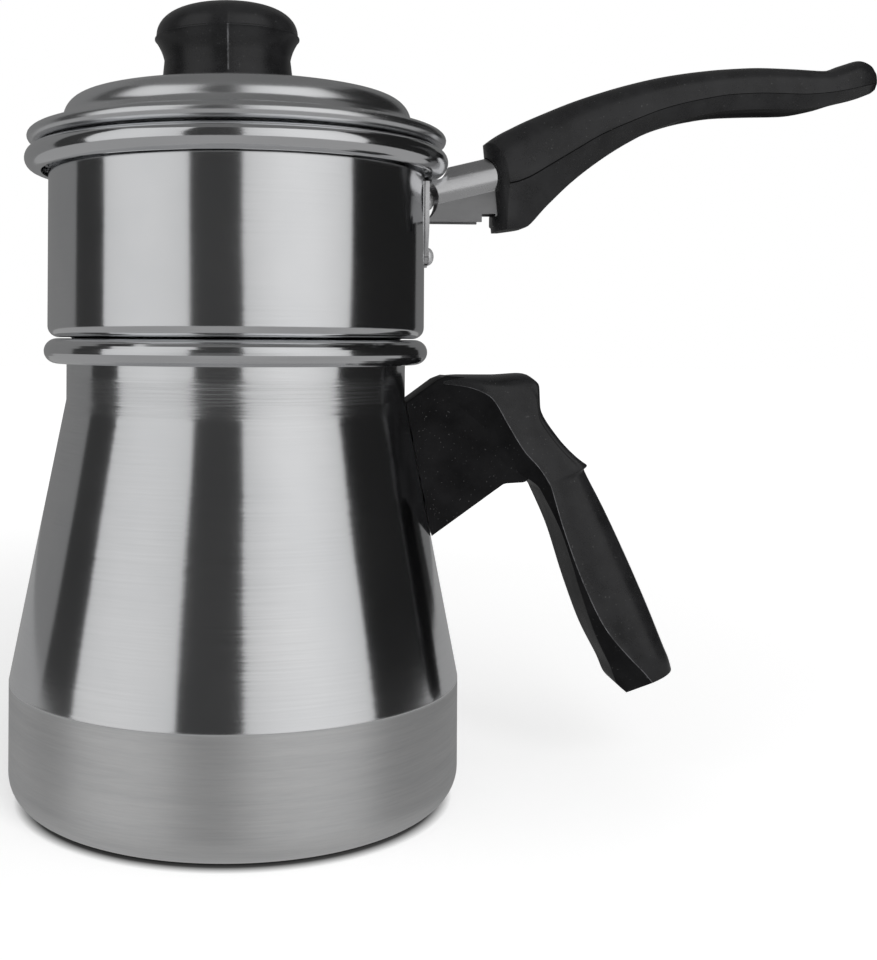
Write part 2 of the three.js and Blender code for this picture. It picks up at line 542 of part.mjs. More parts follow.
// Loose perforated plate
function ringPoints(radius, count, x, y) {
  return Array.from({ length: count }, (_, i) => {
    const angle = (FULL_TURN * i) / count;
    return new THREE.Vector2(x + radius * Math.cos(angle), y + radius * Math.sin(angle));
  });
}
const plateShape = new THREE.Shape(ringPoints(PLATE_RADIUS, ROUND, 0, 0));
const ringPitch = (PLATE_RADIUS - PLATE_BORDER - PLATE_HOLE) / PLATE_RINGS;
for (let ring = 0; ring <= PLATE_RINGS; ring += 1) {
  const centres = ringPoints(ring * ringPitch, Math.max(1, ring * PLATE_HOLES_PER_RING), 0, 0);
  for (const { x, y } of centres) {
    plateShape.holes.push(new THREE.Path(ringPoints(PLATE_HOLE, PLATE_HOLE_SIDES, x, y)));
  }
}
const plate = new THREE.ExtrudeGeometry(plateShape, { depth: SHEET, bevelEnabled: false });
place("steam_plate", solid(plate.translate(0, 0, PLATE_Z)), polished());

// Lid: a shallow crown, a rounded shoulder, a groove that sinks into the pan and a rolled edge
const shoulderMiddle = LID_STEP + HALF_SHEET - LID_SHOULDER; // radius of the shoulder's centre
const crownCentre = LID_CROWN - LID_CROWN_RADIUS;
const shoulderLean = Math.asin(shoulderMiddle / (LID_CROWN_RADIUS - LID_SHOULDER));
const shoulderZ = crownCentre + (LID_CROWN_RADIUS - LID_SHOULDER) * Math.cos(shoulderLean);
const shoulderAngle = 90 - THREE.MathUtils.radToDeg(shoulderLean);
const crownMiddle = LID_CROWN_RADIUS - HALF_SHEET;
const shoulderBend = LID_SHOULDER - HALF_SHEET;
const grooveBend = LID_GROOVE / 2;
const grooveZ = PAN_TOP - LID_SINK + HALF_SHEET + grooveBend;
const lidPath = [
  ...bend(0, crownCentre, crownMiddle, crownMiddle, 90, shoulderAngle, BEND_STEPS + 1),
  ...bend(shoulderMiddle, shoulderZ, shoulderBend, shoulderBend, shoulderAngle, 0, BEND_STEPS + 1).slice(1),
  ...bend(LID_STEP + grooveBend, grooveZ, grooveBend, grooveBend, 180, 360, BEND_STEPS + 1),
  ...rolledEdge(LID_WALL, LID_EDGE_Z, LID_EDGE_REACH, LID_EDGE_RISE),
];
const knobLean = Math.asin(KNOB_SHIFT / LID_CROWN_RADIUS);
const knobAxis = new THREE.Vector3(-Math.sin(knobLean), 0, Math.cos(knobLean));
const domeCentre = new THREE.Vector3(0, 0, crownCentre);
const knobSeat = along(domeCentre, knobAxis, LID_CROWN_RADIUS);
const lidHole = rod(SHANK + SEAT_GAP, -2 * SHEET, SHEET);
place("lid", spun(lidPath).subtract(solid(aimed(lidHole, knobSeat, knobAxis))), polished());

// Knob: its foot follows the crown of the lid, and its heights are measured from there
const footRadius = LID_CROWN_RADIUS + SEAT_GAP;
const footLean = THREE.MathUtils.radToDeg(Math.asin(KNOB_FOOT / footRadius));
const knobLip = KNOB_SEAM_HEIGHT + KNOB_SEAM_LIP;
const knobCap = KNOB_RADIUS - KNOB_SEAM_LIP;
const knobOutline = [
  ...bend(0, -LID_CROWN_RADIUS, footRadius, footRadius, 90, 90 - footLean, BEND_STEPS),
  [KNOB_WAIST, KNOB_WAIST_HEIGHT],
  [(KNOB_WAIST + KNOB_RADIUS) / 2, (KNOB_WAIST_HEIGHT + KNOB_SEAM_HEIGHT) / 2],
  [KNOB_RADIUS, KNOB_SEAM_HEIGHT],
  ...bend(0, knobLip, knobCap, KNOB_HEIGHT - knobLip, 0, 90, KNOB_STEPS),
];
const knobPocket = rod(INSERT + SEAT_GAP, -SHEET, insertEnd + SEAT_GAP);
const knob = solid(aimed(turned(knobOutline, ROUND), knobSeat, knobAxis));
place("lid_knob", knob.subtract(solid(aimed(knobPocket, knobSeat, knobAxis))), phenolic());
placeRing("lid_knob_insert", INSERT, INSERT_SINK, insertEnd, knobSeat, knobAxis, brass());
placeRing("lid_knob_washer", WASHER, -washerBack, -wallBack, knobSeat, knobAxis, steel());
placeScrew("lid_knob_screw", headBack + SCREW_REACH, along(knobSeat, knobAxis, -headBack), knobAxis);

export default steamer;
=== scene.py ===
"""Couscous steamer: fine surface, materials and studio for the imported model."""
import math

import bmesh
import bpy
import numpy as np
from mathutils import Matrix, Vector
from mathutils.geometry import tessellate_polygon

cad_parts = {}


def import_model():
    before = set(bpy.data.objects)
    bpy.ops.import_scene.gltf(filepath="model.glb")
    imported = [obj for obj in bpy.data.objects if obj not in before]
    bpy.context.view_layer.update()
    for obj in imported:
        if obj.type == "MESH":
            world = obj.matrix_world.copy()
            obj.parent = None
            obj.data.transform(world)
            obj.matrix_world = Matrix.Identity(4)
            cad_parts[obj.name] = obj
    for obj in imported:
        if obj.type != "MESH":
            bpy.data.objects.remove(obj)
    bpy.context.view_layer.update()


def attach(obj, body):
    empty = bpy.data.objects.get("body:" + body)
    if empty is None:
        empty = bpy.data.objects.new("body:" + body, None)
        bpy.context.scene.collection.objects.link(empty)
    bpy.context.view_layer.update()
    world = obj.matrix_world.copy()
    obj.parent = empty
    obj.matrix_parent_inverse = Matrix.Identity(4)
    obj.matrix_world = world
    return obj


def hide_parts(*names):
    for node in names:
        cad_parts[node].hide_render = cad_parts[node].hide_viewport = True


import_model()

MM = 0.001
ROUND = 256  # facets around the spun shells
CURL = 24  # steps in a rolled edge
SHARP = 32  # degrees, above which an edge stays sharp
ON_AXIS, SAME_POINT = 1e-6, 1e-7
MAIN, SEAM, PAINTED_SHADE = 0, 1, 2  # a moulding's materials; the third is a darker copy that paints shade

# Sizes in millimetres, as in the solids, apart from BASE_CORNER, which is 5 there
SHEET, SEAT_GAP = 1.2, 0.3
BEAD_SWEEP = 285
BASE_RADIUS, BASE_CORNER, BAND_HEIGHT = 70.6, 10, 37.5
NECK_RADIUS, CONE_TOP = 53.6, 124
BOILER_BEAD_Z, BOILER_BEAD = 139.2, (4.1, 3.9)
PAN_RADIUS, PAN_CORNER, PAN_HEIGHT = 59.5, 3, 55.5
SPIGOT_CLEARANCE, SPIGOT_BEND, SPIGOT_DEPTH = 0.7, 1.6, 17
PAN_FLARE, PAN_FLARE_HEIGHT, PAN_BEAD = 0.4, 8, (4.1, 3.9)
PLATE_CLEARANCE, PLATE_HOLE, PLATE_RINGS, PLATE_BORDER = 0.5, 2.6, 4, 6.5
LID_CLEARANCE, LID_EDGE, LID_SINK, LID_GROOVE = 0.5, (4.6, 2.7), 4, 3.1
LID_SHOULDER, LID_CROWN_RADIUS, LID_RISE = 7, 218, 21.3
KNOB_SHIFT, KNOB_FOOT, KNOB_WAIST, KNOB_RADIUS = 3.4, 20.9, 19.8, 23.05
KNOB_WAIST_HEIGHT, KNOB_SEAM_HEIGHT, KNOB_HEIGHT = 5.8, 14.3, 25
SHANK, HEAD, HEAD_HEIGHT, SLOT_WIDTH, SLOT_DEPTH = 2, 4, 2.6, 1, 1.1
WASHER, WASHER_THICKNESS, INSERT, INSERT_LENGTH, SCREW_REACH = 4.8, 1, 3.5, 11, 10
WALL_STANDOFF = 0.5
BLOCK_HALF, BOILER_SCREWS = 8.5, {"upper": 12, "lower": 32}
ARM_FACE, ARM_NOSE, ARM_LEAN = 20.5, 13, 5.7
TANG_SHEET, TANG_HALF, TANG_LEG, TANG_TOP, TANG_TILT = 1.4, 7, 5.4, 3, 13.7
TANG_LOW, TANG_LIFT, TANG_DEPTH = -17.9, 11, 14
TANG_NOTCH_WIDTH, TANG_NOTCH_HEIGHT, TANG_SCREW_DROP, TANG_INSERT_SINK = 4.4, 2.6, 8.4, 0.9
LUG_START, LUG_LENGTH, LUG_ROOT = 1.7, 4, 1.4
FLANGE_HALF, FLANGE_SHEET, FLANGE_TOP, FLANGE_SHOULDER, TONGUE_HALF = 6.5, 1, -5.2, -19.7, 3.6
RIVETS = {"upper": -11.1, "lower": -28.9}
RIVET_CUTOUT, RIVET_REVEAL = 7.5, 3
RIVET_SHANK, RIVET_HEAD, RIVET_DOME, RIVET_TAIL, RIVET_TAIL_END = 1.7, 2.9, 2, 0.9, 2.3
BEAD_CLEARANCE = 0.8

# Sizes of detail that only the scene has
LID_FOOT_RADIUS, LID_FOOT_START, LID_FOOT_END, LID_FOOT_RUN = 4, 8, 35, 0.9
PLATE_FACETS, HOLE_FACETS, FASTENER_FACETS, RIVET_FACETS, FASTENER_EDGE = 128, 20, 48, 40, 0.2
THREAD_PITCH, THREAD_DEPTH, THREAD_START, SCREW_TIP, SLOT_REACH = 0.7, 0.25, 2, 1, 9
KNOB_TOE, KNOB_BAND, KNOB_LIP = [(0.05, 1), (-0.3, 3)], [(0, -0.05), (0, 0.25), (-0.45, 0.55)], 0.35
SWELL_START, SWELL_POWER, SWELL_SINK, SWELL_RISE = 0.35, 2.2, 1.5, 1.1
CROWN_START, CROWN_IN, CROWN_STEP, CROWN_POWER, CROWN_RISE = 4, 0.5, 0.9, 0.66, 0.9
PARTING_HEIGHT, PARTING_HALF, PARTING_RADIUS, PARTING_START = 0.14, 0.6, 6, 1
GRIP_SEAM, ARM_SEAM = 0.1, -0.12  # raised and sunk parting lines
HOLLOW_DEPTH, HOLLOW_START, HOLLOW_LENGTH, HOLLOW_POWER = 1.3, 62, 52, 0.6
ROW_STEPS, HANDLE_SHARP, JOINED_SHARP, KNOB_SHARP = 6, 28, 34, 30
HANDLE_EDGE = {"width": 0.5, "segments": 2, "angle": 66}
CUT_REACH = 20  # half length of a tool that cuts right through

HALF = SHEET / 2
BOILER_TOP = BOILER_BEAD_Z + BOILER_BEAD[1]
LEDGE = BOILER_TOP + SEAT_GAP
SPIGOT_RADIUS = NECK_RADIUS - SHEET - SPIGOT_CLEARANCE
PAN_BEAD_Z = LEDGE + PAN_HEIGHT
PAN_MOUTH = PAN_RADIUS + PAN_FLARE - SHEET
PAN_TOP = PAN_BEAD_Z + PAN_BEAD[1]
PLATE_RADIUS = PAN_RADIUS - SHEET - PAN_CORNER + HALF - PLATE_CLEARANCE
PLATE_Z = LEDGE + SHEET + SEAT_GAP
LID_EDGE_Z = PAN_TOP + SEAT_GAP + LID_EDGE[1]
LID_WALL = PAN_MOUTH - LID_CLEARANCE - HALF
LID_STEP = LID_WALL - LID_GROOVE
LID_CROWN = PAN_TOP + LID_RISE

# Boiler handle, from the neck corner. A row of a grip gives its inner edge, seam, outer edge, two half
# widths, squareness and dish
BLOCK = [
    (-5.4, -5.6), (0.3, -0.4), (9.8, 6.6), (12.9, 7.8), (35.5, 6.2), (40, -24), (38.2, -26),
    (31.4, -26.4), (8, -43.2), (0.3, -48.7),
]
GRIP = [
    (11.4, 3.3, 11.6, 5.3, 11.7, 7.7, 8.4, 8.6, 0, 0), (17.7, -2.6, 18.5, 4.5, 18.3, 8.1, 8.5, 10.3, 0, 0),
    (25, -8.8, 25.8, 1.6, 28, 8.1, 8.5, 12, 0, 0), (29.6, -15, 31.5, -7.1, 38.2, 8.8, 8.5, 12, 0.5, 0.2),
    (32.4, -18.9, 34.4, -12, 42.2, 5.2, 8.5, 12, 1, 1),
    (34.6, -21.8, 37.4, -16.4, 42.5, -1.6, 8.5, 12, 1, 1),
    (40.1, -25.6, 41.3, -20.6, 48.2, -11.2, 8.8, 12, 1, 1),
    (41.6, -26.8, 43.2, -23.2, 54.4, -17.6, 8.9, 12, 1, 1),
    (42.7, -28, 44.8, -25.8, 58.2, -20.5, 9, 12, 0.8, 0),
    (43.2, -29, 45.4, -26.8, 57.7, -21.6, 9.2, 12, 0.4, 0),
    (48.9, -40.9, 49.4, -40, 64.5, -34.3, 11, 12, 0.1, 0),
    (55, -59.2, 56.1, -57.9, 72.9, -51.7, 11.5, 12, 0, 0),
    (60.5, -74.2, 63.2, -72, 79.9, -67.6, 10.5, 12, 0, 0),
    (65.9, -85, 71.2, -81.4, 84.6, -79.2, 9, 11.8, 0, 0),
    (68.2, -90.4, 76, -86.2, 86.3, -83.2, 8, 10.8, 0, 0),
    (71.4, -93.4, 79.2, -89.8, 87.2, -86.3, 7.4, 9.8, 0, 0),
]
# Long handle, from its front and the middle of the rim, with the same columns
ARM = [
    (-1.5, -20.9, -1.5, -6.3, -1.5, 6.9, 8.6, 9.4, 0, 0), (2, -20.9, 2, -6.3, 2, 9.5, 8.9, 10.1, 0, 0),
    (4.3, -20.6, 4.3, -6.2, 4.3, 10.9, 8.9, 10.4, 0, 0),
    (7.8, -20.2, 7.8, -5.6, 7.8, 12.7, 7.6, 10.5, 0, 0),
    (11.8, -19.6, 11.8, -4.1, 11.8, 14.7, 5.6, 10.5, 0, 0),
    (19.3, -12.3, 19.3, 0.3, 19.3, 18, 3.8, 10.5, 0, 0),
    (27.3, -4.7, 27.3, 5.1, 27.3, 21.3, 3.2, 10.5, 0, 0),
    (35.3, 1.6, 35.3, 9.8, 35.3, 24.1, 3.2, 10.5, 0, 0), (44.8, 7.8, 44.8, 14.1, 44.8, 27, 3.8, 10.5, 0, 0),
    (56.3, 13.5, 56.3, 18.6, 56.3, 29.8, 5.4, 10.5, 0, 0),
    (67.8, 16.8, 67.8, 21.5, 67.8, 31.7, 7.4, 10.5, 0, 0), (78, 18.5, 78, 23.2, 78, 32.8, 8.6, 10.6, 0, 0),
    (89.3, 19.1, 89.3, 23.8, 89.3, 33.4, 8.8, 10.6, 0, 0),
    (100.3, 19.4, 100.3, 23.7, 100.3, 33.2, 8.2, 10.4, 0, 0),
    (109.9, 21, 109.9, 24.5, 109.9, 32.8, 6.8, 10, 0, 0),
    (116.3, 22.9, 116.3, 25.7, 116.3, 34.7, 5.6, 9.2, 0, 0),
    (122.6, 24.4, 122.6, 27.3, 122.6, 36.5, 4.2, 7.6, 0, 0),
    (126.2, 25.6, 126.2, 28.3, 126.2, 35.5, 3, 5.8, 0, 0),
    (128.6, 27.2, 128.6, 29, 128.6, 33.3, 1.6, 3.2, 0, 0),
]


# Mesh helpers
def mesh_object(name, points, faces, sharp=SHARP, marked=None):
    """Mesh in millimetres; marked faces take another of its materials."""
    mesh = bpy.data.meshes.new(name)
    mesh.from_pydata([Vector(point) * MM for point in points], [], faces)
    for face, index in (marked or {}).items():
        mesh.polygons[face].material_index = index
    obj = bpy.data.objects.new(name, mesh)
    bpy.context.scene.collection.objects.link(obj)
    return refine(obj, sharp)


def refine(obj, sharp):
    """Faces out, smooth shading, edges sharper than an angle kept."""
    shape = bmesh.new()
    shape.from_mesh(obj.data)
    bmesh.ops.remove_doubles(shape, verts=shape.verts, dist=SAME_POINT)
    bmesh.ops.recalc_face_normals(shape, faces=shape.faces)
    shape.to_mesh(obj.data)
    shape.free()
    obj.data.polygons.foreach_set("use_smooth", [True] * len(obj.data.polygons))
    obj.data.set_sharp_from_angle(angle=math.radians(sharp))
    obj.data.update()
    return obj


def bend(radius, height, reach, rise, start, stop, steps):
    """Points along an arc between two angles in degrees."""
    angles = np.radians(np.linspace(start, stop, steps + 1))
    return [(radius + reach * math.cos(a), height + rise * math.sin(a)) for a in angles]


def sheet_outline(path):
    """Closed outline of a bent sheet, from the path along the middle of the sheet."""
    points = np.array(path, float)
    runs = np.diff(points, axis=0)
    runs /= np.linalg.norm(runs, axis=1)[:, None]
    normals = np.column_stack([runs[:, 1], -runs[:, 0]])
    before = np.vstack([normals[:1], normals])
    after = np.vstack([normals, normals[-1:]])
    if points[0, 0] < ON_AXIS:
        before[0] = after[0] = (0, -1)
    mitre = (before + after) * HALF / (1 + (before * after).sum(axis=1))[:, None]
    return [tuple(p) for p in points + mitre] + [tuple(p) for p in (points - mitre)[::-1]]


def rolled_edge(wall, height, size):
    """Curl at the end of a sheet's path, from the middle of the wall outwards."""
    across, up = size[0] - HALF, size[1] - HALF
    return bend(wall + across, height, across, up, 180, 180 - BEAD_SWEEP, CURL)


def lathe(name, outline, facets=None, relief=None, sharp=SHARP, line=None):
    """Spins a closed outline of radius and height; relief moves a point by angle, a line marks faces."""
    facets = facets or ROUND
    points, rows = [], []
    for radius, height in outline:
        if radius < ON_AXIS:
            rows.append([len(points)] * facets)
            points.append((0, 0, height))
            continue
        rows.append(list(range(len(points), len(points) + facets)))
        for i in range(facets):
            angle = 2 * math.pi * i / facets
            r = radius + (relief(angle, radius, height) if relief else 0)
            points.append((r * math.cos(angle), r * math.sin(angle), height))
    faces, marked = [], {}
    for j, low in enumerate(rows):
        high = rows[(j + 1) % len(rows)]
        if low[0] == low[1] and high[0] == high[1]:
            continue
        for i in range(facets):
            k = (i + 1) % facets
            face = []
            for corner in (low[i], low[k], high[k], high[i]):
                if corner not in face:
                    face.append(corner)
            if line and line(i / facets, *outline[j]):
                marked[len(faces)] = SEAM
            faces.append(face)
    return mesh_object(name, points, faces, sharp, marked)


def aim(obj, point, direction):
    """Turns a piece made along +Z to a direction and moves it to a point, in its mesh."""
    turn = Vector((0, 0, 1)).rotation_difference(Vector(direction).normalized()).to_matrix().to_4x4()
    obj.data.transform(turn)
    for vertex in obj.data.vertices:
        vertex.co += Vector(point) * MM
    return obj


def prism(name, outline, half):
    """Outline of the X-Z plane, extruded to both sides."""
    count = len(outline)
    points = [(x, side * half, z) for side in (-1, 1) for x, z in outline]
    faces = [list(range(count)), list(range(2 * count - 1, count - 1, -1))]
    faces += [[i, (i + 1) % count, count + (i + 1) % count, count + i] for i in range(count)]
    return mesh_object(name, points, faces)


def block(name, low, high):
    (x0, y0, z0), (x1, y1, z1) = low, high
    obj = prism(name, [(x0, z0), (x1, z0), (x1, z1), (x0, z1)], 0.5 * (y1 - y0))
    for vertex in obj.data.vertices:
        vertex.co.y += 0.5 * (y0 + y1) * MM
    return obj


def loft(name, rings, sharp=SHARP, strips=None):
    """Skin over closed rings of equal count, capped at both ends; strips along it are marked."""
    count = len(rings[0])
    points = [tuple(p) for ring in rings for p in ring]
    faces = [list(range(count)), list(range(len(points) - 1, len(points) - count - 1, -1))]
    for j in range(len(rings) - 1):
        a, b = j * count, (j + 1) * count
        faces += [[a + i, a + (i + 1) % count, b + (i + 1) % count, b + i] for i in range(count)]
    strips = (strips or {}).items()
    marked = {2 + j * count + i: index for j in range(len(rings) - 1) for i, index in strips}
    return mesh_object(name, points, faces, sharp, marked)


def apply(obj):
    """Turns the modifiers of a piece into its mesh."""
    graph = bpy.context.evaluated_depsgraph_get()
    mesh = bpy.data.meshes.new_from_object(obj.evaluated_get(graph))
    obj.modifiers.clear()
    obj.data = mesh
    return obj


def combine(obj, other, operation):
    """Boolean with a second piece, which is used up."""
    modifier = obj.modifiers.new("combine", "BOOLEAN")
    modifier.operation, modifier.object, modifier.solver = operation, other, "EXACT"
    apply(obj)
    bpy.data.objects.remove(other, do_unlink=True)
    return obj


def soften(obj, width, segments=3, angle=SHARP):
    """Rounds the edges that are sharper than an angle."""
    modifier = obj.modifiers.new("soften", "BEVEL")
    modifier.width, modifier.segments = width * MM, segments
    modifier.limit_method, modifier.angle_limit = "ANGLE", math.radians(angle)
    modifier.harden_normals = False
    return refine(apply(obj), angle)


def smooth_rows(rows, steps):
    """More rows through the given ones, with no overshoot."""
    rows = np.array(rows, float)
    slopes = np.zeros_like(rows)
    step = np.diff(rows, axis=0)
    same = step[:-1] * step[1:] > 0
    mean = np.where(same, 2 * step[:-1] * step[1:] / np.where(same, step[:-1] + step[1:], 1), 0)
    slopes[1:-1], slopes[0], slopes[-1] = mean, step[0], step[-1]
    result = []
    for i in range(len(rows) - 1):
        for t in np.arange(steps) / steps:
            a, b = rows[i], rows[i + 1]
            result.append(
                a * (2 * t ** 3 - 3 * t ** 2 + 1) + slopes[i] * (t ** 3 - 2 * t ** 2 + t)
                + b * (3 * t ** 2 - 2 * t ** 3) + slopes[i + 1] * (t ** 3 - t ** 2)
            )
    return result + [rows[-1]]


# Levels of a moulded section run from 0 at the inner edge over 1 at the seam to 2 at the outer edge
SEAM_STRIP = 0.015  # half height of the strip that holds the parting line
WALL_LEVELS = (0.25, 0.5, 0.75, 0.97, 1 - SEAM_STRIP)
ROUNDING, SQUARING = 0.72, 0.47  # power of the outer curve, and how far squareness lowers it
DISH_LEVEL, DISH_LIP, DISH_DEPTH, DISH_SHARE = 1.8, 0.3, 0.07, 0.82
HOLLOW_SHARE, FLAT_POWER = 0.86, 4  # share of the width that is hollow, and how flat its middle is


def moulded(name, rows, origin, seam_line, hollow=None, inner_index=MAIN):
    """Handle drafted from its inner edge to a seam and rounded from the seam to its outer edge."""
    wall = [(1, level, 0) for level in WALL_LEVELS + (1.0, 1 + SEAM_STRIP)]
    section = [(side, 0.0, 0) for side in np.linspace(-1, 1, 13)] + wall
    section += [(0, 0, angle) for angle in np.linspace(0, math.pi, 41)[1:-1]]
    section += [(-side, level, angle) for side, level, angle in wall[::-1]]
    rings = []
    for row in rows:
        inner, seam, outer, square, dish = row[0:2], row[2:4], row[4:6], row[8], row[9]
        power = ROUNDING - SQUARING * square
        ring = []
        for side, level, angle in section:
            if angle:
                side = math.copysign(abs(math.cos(angle)) ** power, math.cos(angle))
                level = 1 + SEAM_STRIP + (1 - SEAM_STRIP) * math.sin(angle) ** power
            lower = level <= 1
            share = level if lower else level - 1
            a, b = (inner, seam) if lower else (seam, outer)
            half = row[6] + (row[7] - row[6]) * level if lower else row[7]
            if level == 1.0:
                half += seam_line
            if level > DISH_LEVEL:
                half += DISH_LIP * dish
                share -= DISH_DEPTH * dish * max(0.0, 1 - (side / DISH_SHARE) ** FLAT_POWER)
            x, z = a + (b - a) * share
            if hollow and level == 0.0 and abs(side) < HOLLOW_SHARE:
                z += hollow(row[0]) * (1 - (side / HOLLOW_SHARE) ** FLAT_POWER)
            ring.append((origin[0] + x, side * half, origin[1] + z))
        rings.append(ring)
    strips = {}
    for i, (_, level, angle) in enumerate(section):
        after, turned = section[(i + 1) % len(section)][1:]
        if angle or turned:
            continue
        # Faces of the inner edge, and of the lower wall where inner_index asks, take the painted-shade
        # material
        under = PAINTED_SHADE if max(level, after) == 0 else inner_index
        strips[i] = SEAM if min(level, after) >= WALL_LEVELS[-1] else under
    return loft(name, rings, HANDLE_SHARP, strips)


# Material helpers
MOST = (0.3, 0.7)  # where most values of a noise lie
WHITE = (1, 1, 1, 1)


def grey(level, blue=1.0):
    """Grey with its blue raised by a factor."""
    return (level, level, level * blue, 1)


class Surface:
    """Material with short names for the nodes that it uses."""
    def __init__(self, name, **shader):
        self.material = bpy.data.materials.new(name)
        self.material.use_nodes = True
        self.tree = self.material.node_tree
        self.shader = self.tree.nodes["Principled BSDF"]
        for socket, value in shader.items():
            self.shader.inputs[socket.replace("_", " ")].default_value = value

    @classmethod
    def over(cls, tree):
        """Node helpers over a tree that has a shader of its own."""
        surface = cls.__new__(cls)
        surface.tree = tree
        return surface

    def node(self, kind, inputs=(), **settings):
        node = self.tree.nodes.new("ShaderNode" + kind)
        for key, value in settings.items():
            setattr(node, key, value)
        for key, value in dict(inputs).items():
            if isinstance(value, bpy.types.NodeSocket):
                self.tree.links.new(value, node.inputs[key])
            else:
                node.inputs[key].default_value = value
        return node

    def link(self, source, socket):
        self.tree.links.new(source, self.shader.inputs[socket])

    def place(self):
        return self.node("TexCoord").outputs["Object"]

    def math(self, operation, a, b=0.0):
        return self.node("Math", {0: a, 1: b}, operation=operation).outputs[0]

    def add(self, a, b):
        return self.math("ADD", a, b)

    def times(self, a, b):
        return self.math("MULTIPLY", a, b)

    def vector(self, x, y=0.0, z=0.0):
        return self.node("CombineXYZ", {0: x, 1: y, 2: z}).outputs[0]

    def noise(self, vector, scale, detail=2.0, rough=0.5):
        inputs = {"Vector": vector, "Scale": scale, "Detail": detail, "Roughness": rough}
        return self.node("TexNoise", inputs).outputs["Fac"]

    def scaled(self, vector, x, y, z):
        return self.node("VectorMath", {0: vector, 1: (x, y, z)}, operation="MULTIPLY").outputs[0]

    def scaled_by(self, vector, factor):
        return self.node("VectorMath", {0: vector, "Scale": factor}, operation="SCALE").outputs[0]

    def spread(self, value, low, high, to_low, to_high):
        """Carries a value from one range over to another, and stops at its ends."""
        inputs = {"Value": value, "From Min": low, "From Max": high, "To Min": to_low, "To Max": to_high}
        return self.node("MapRange", inputs).outputs[0]

    def mix(self, factor, a, b):
        """Mix of two colours, which are inputs 6 and 7 of the node."""
        return self.node("Mix", {0: factor, 6: a, 7: b}, data_type="RGBA").outputs[2]

    def bump(self, height, strength, distance, normal=None):
        inputs = {"Height": height, "Strength": strength, "Distance": distance}
        if normal is not None:
            inputs["Normal"] = normal
        return self.node("Bump", inputs).outputs["Normal"]


def spun_place(surface):
    """Radius, angle and height, so that a pattern runs round the axis."""
    x, y, z = surface.node("SeparateXYZ", {0: surface.place()}).outputs
    radius = surface.math("SQRT", surface.add(surface.times(x, x), surface.times(y, y)))
    return radius, surface.math("ARCTAN2", y, x), z


HAZE = 0.065  # mean of what the haze adds to the roughness
LINE_FADE = 0.002  # height over which the turned lines begin and end
BAND_FADE = (-0.0004, 0.0008)  # where the brushed band ends, from its nominal height
ALUMINIUM_DULL, ALUMINIUM_BRIGHT = (0.80, 0.81, 0.825, 1), (0.87, 0.875, 0.885, 1)
BRUSHED_DULL = (0.87, 0.875, 0.88, 1)


def aluminium(name, band=None, lines=None, rough=0.1, marks=0.0):
    """Polished spun aluminium; a band below a height is brushed, lines and marks are left by turning."""
    s = Surface(name, Metallic=1.0)
    radius, around, z = spun_place(s)
    tangent = s.node("Tangent", direction_type="RADIAL", axis="Z").outputs[0]
    rings = s.vector(radius, z, s.times(around, 0.002))
    fine = s.noise(rings, scale=2600, detail=3, rough=0.7)
    broad = s.noise(rings, scale=160)
    cloud = s.noise(s.place(), scale=26, detail=3, rough=0.55)
    roughness = s.add(s.add(s.times(cloud, 0.08), s.times(fine, 0.05)), rough - HAZE)
    height = s.add(s.times(fine, 0.5), broad)
    colour = s.mix(s.spread(cloud, *MOST, 0, 1), ALUMINIUM_DULL, ALUMINIUM_BRIGHT)
    if band:
        brush = s.vector(s.times(around, 0.005), z, radius)
        stroke = s.noise(brush, scale=1500, detail=4, rough=0.75)
        worn = s.noise(brush, scale=240, detail=3, rough=0.6)
        edge = s.add(z, s.times(worn, 0.0006))
        inside = s.spread(edge, band + BAND_FADE[0], band + BAND_FADE[1], 1, 0)
        satin = s.add(s.times(stroke, 0.12), 0.42)
        roughness = s.node("Mix", {0: inside, 2: roughness, 3: satin}).outputs[0]
        height = s.add(height, s.times(s.times(stroke, inside), 3.0))
        scratch = s.add(s.spread(worn, *MOST, 0, 0.6), s.spread(stroke, 0.35, 0.65, 0, 0.4))
        colour = s.mix(inside, colour, s.mix(scratch, BRUSHED_DULL, WHITE))
        s.link(s.spread(inside, 0, 1, 0, 0.8), "Anisotropic")
        s.shader.inputs["Anisotropic Rotation"].default_value = 0.25
        s.link(tangent, "Tangent")
    if lines:
        low, high = lines
        groove = s.noise(s.vector(z), scale=1100, detail=1)
        rise = s.spread(z, low, low + LINE_FADE, 0, 1)
        where = s.times(rise, s.spread(z, high - LINE_FADE, high, 1, 0))
        height = s.add(height, s.times(s.times(groove, where), 10.0))
        roughness = s.add(roughness, s.times(where, 0.06))
    waves = s.noise(s.scaled(s.place(), 1, 1, 0.5), scale=20, rough=0.45)
    normal = s.bump(height, 0.12, 0.00004, s.bump(waves, 0.5, 0.0011))
    if marks:
        streak = s.noise(s.vector(s.times(around, 1.6), s.times(z, 1500.0)), scale=1, detail=3, rough=0.65)
        patch = s.spread(s.noise(s.place(), scale=24), 0.4, 0.62, 0.2, 1)
        if lines:
            patch = s.add(patch, s.times(where, 2.0))
        shift = s.times(s.times(s.math("SUBTRACT", streak, 0.5), patch), marks)
        side = s.scaled_by(tangent, shift)
        normal = s.node("VectorMath", {0: normal, 1: side}, operation="ADD").outputs[0]
        normal = s.node("VectorMath", {0: normal}, operation="NORMALIZE").outputs[0]
        smear = s.times(s.spread(streak, 0.35, 0.65, 1, 0), patch)
        colour = s.scaled_by(colour, s.spread(smear, 0, 1, 1, 1 - 1.3 * marks))
    s.link(colour, "Base Color")
    s.link(roughness, "Roughness")
    s.link(normal, "Normal")
    return s.material


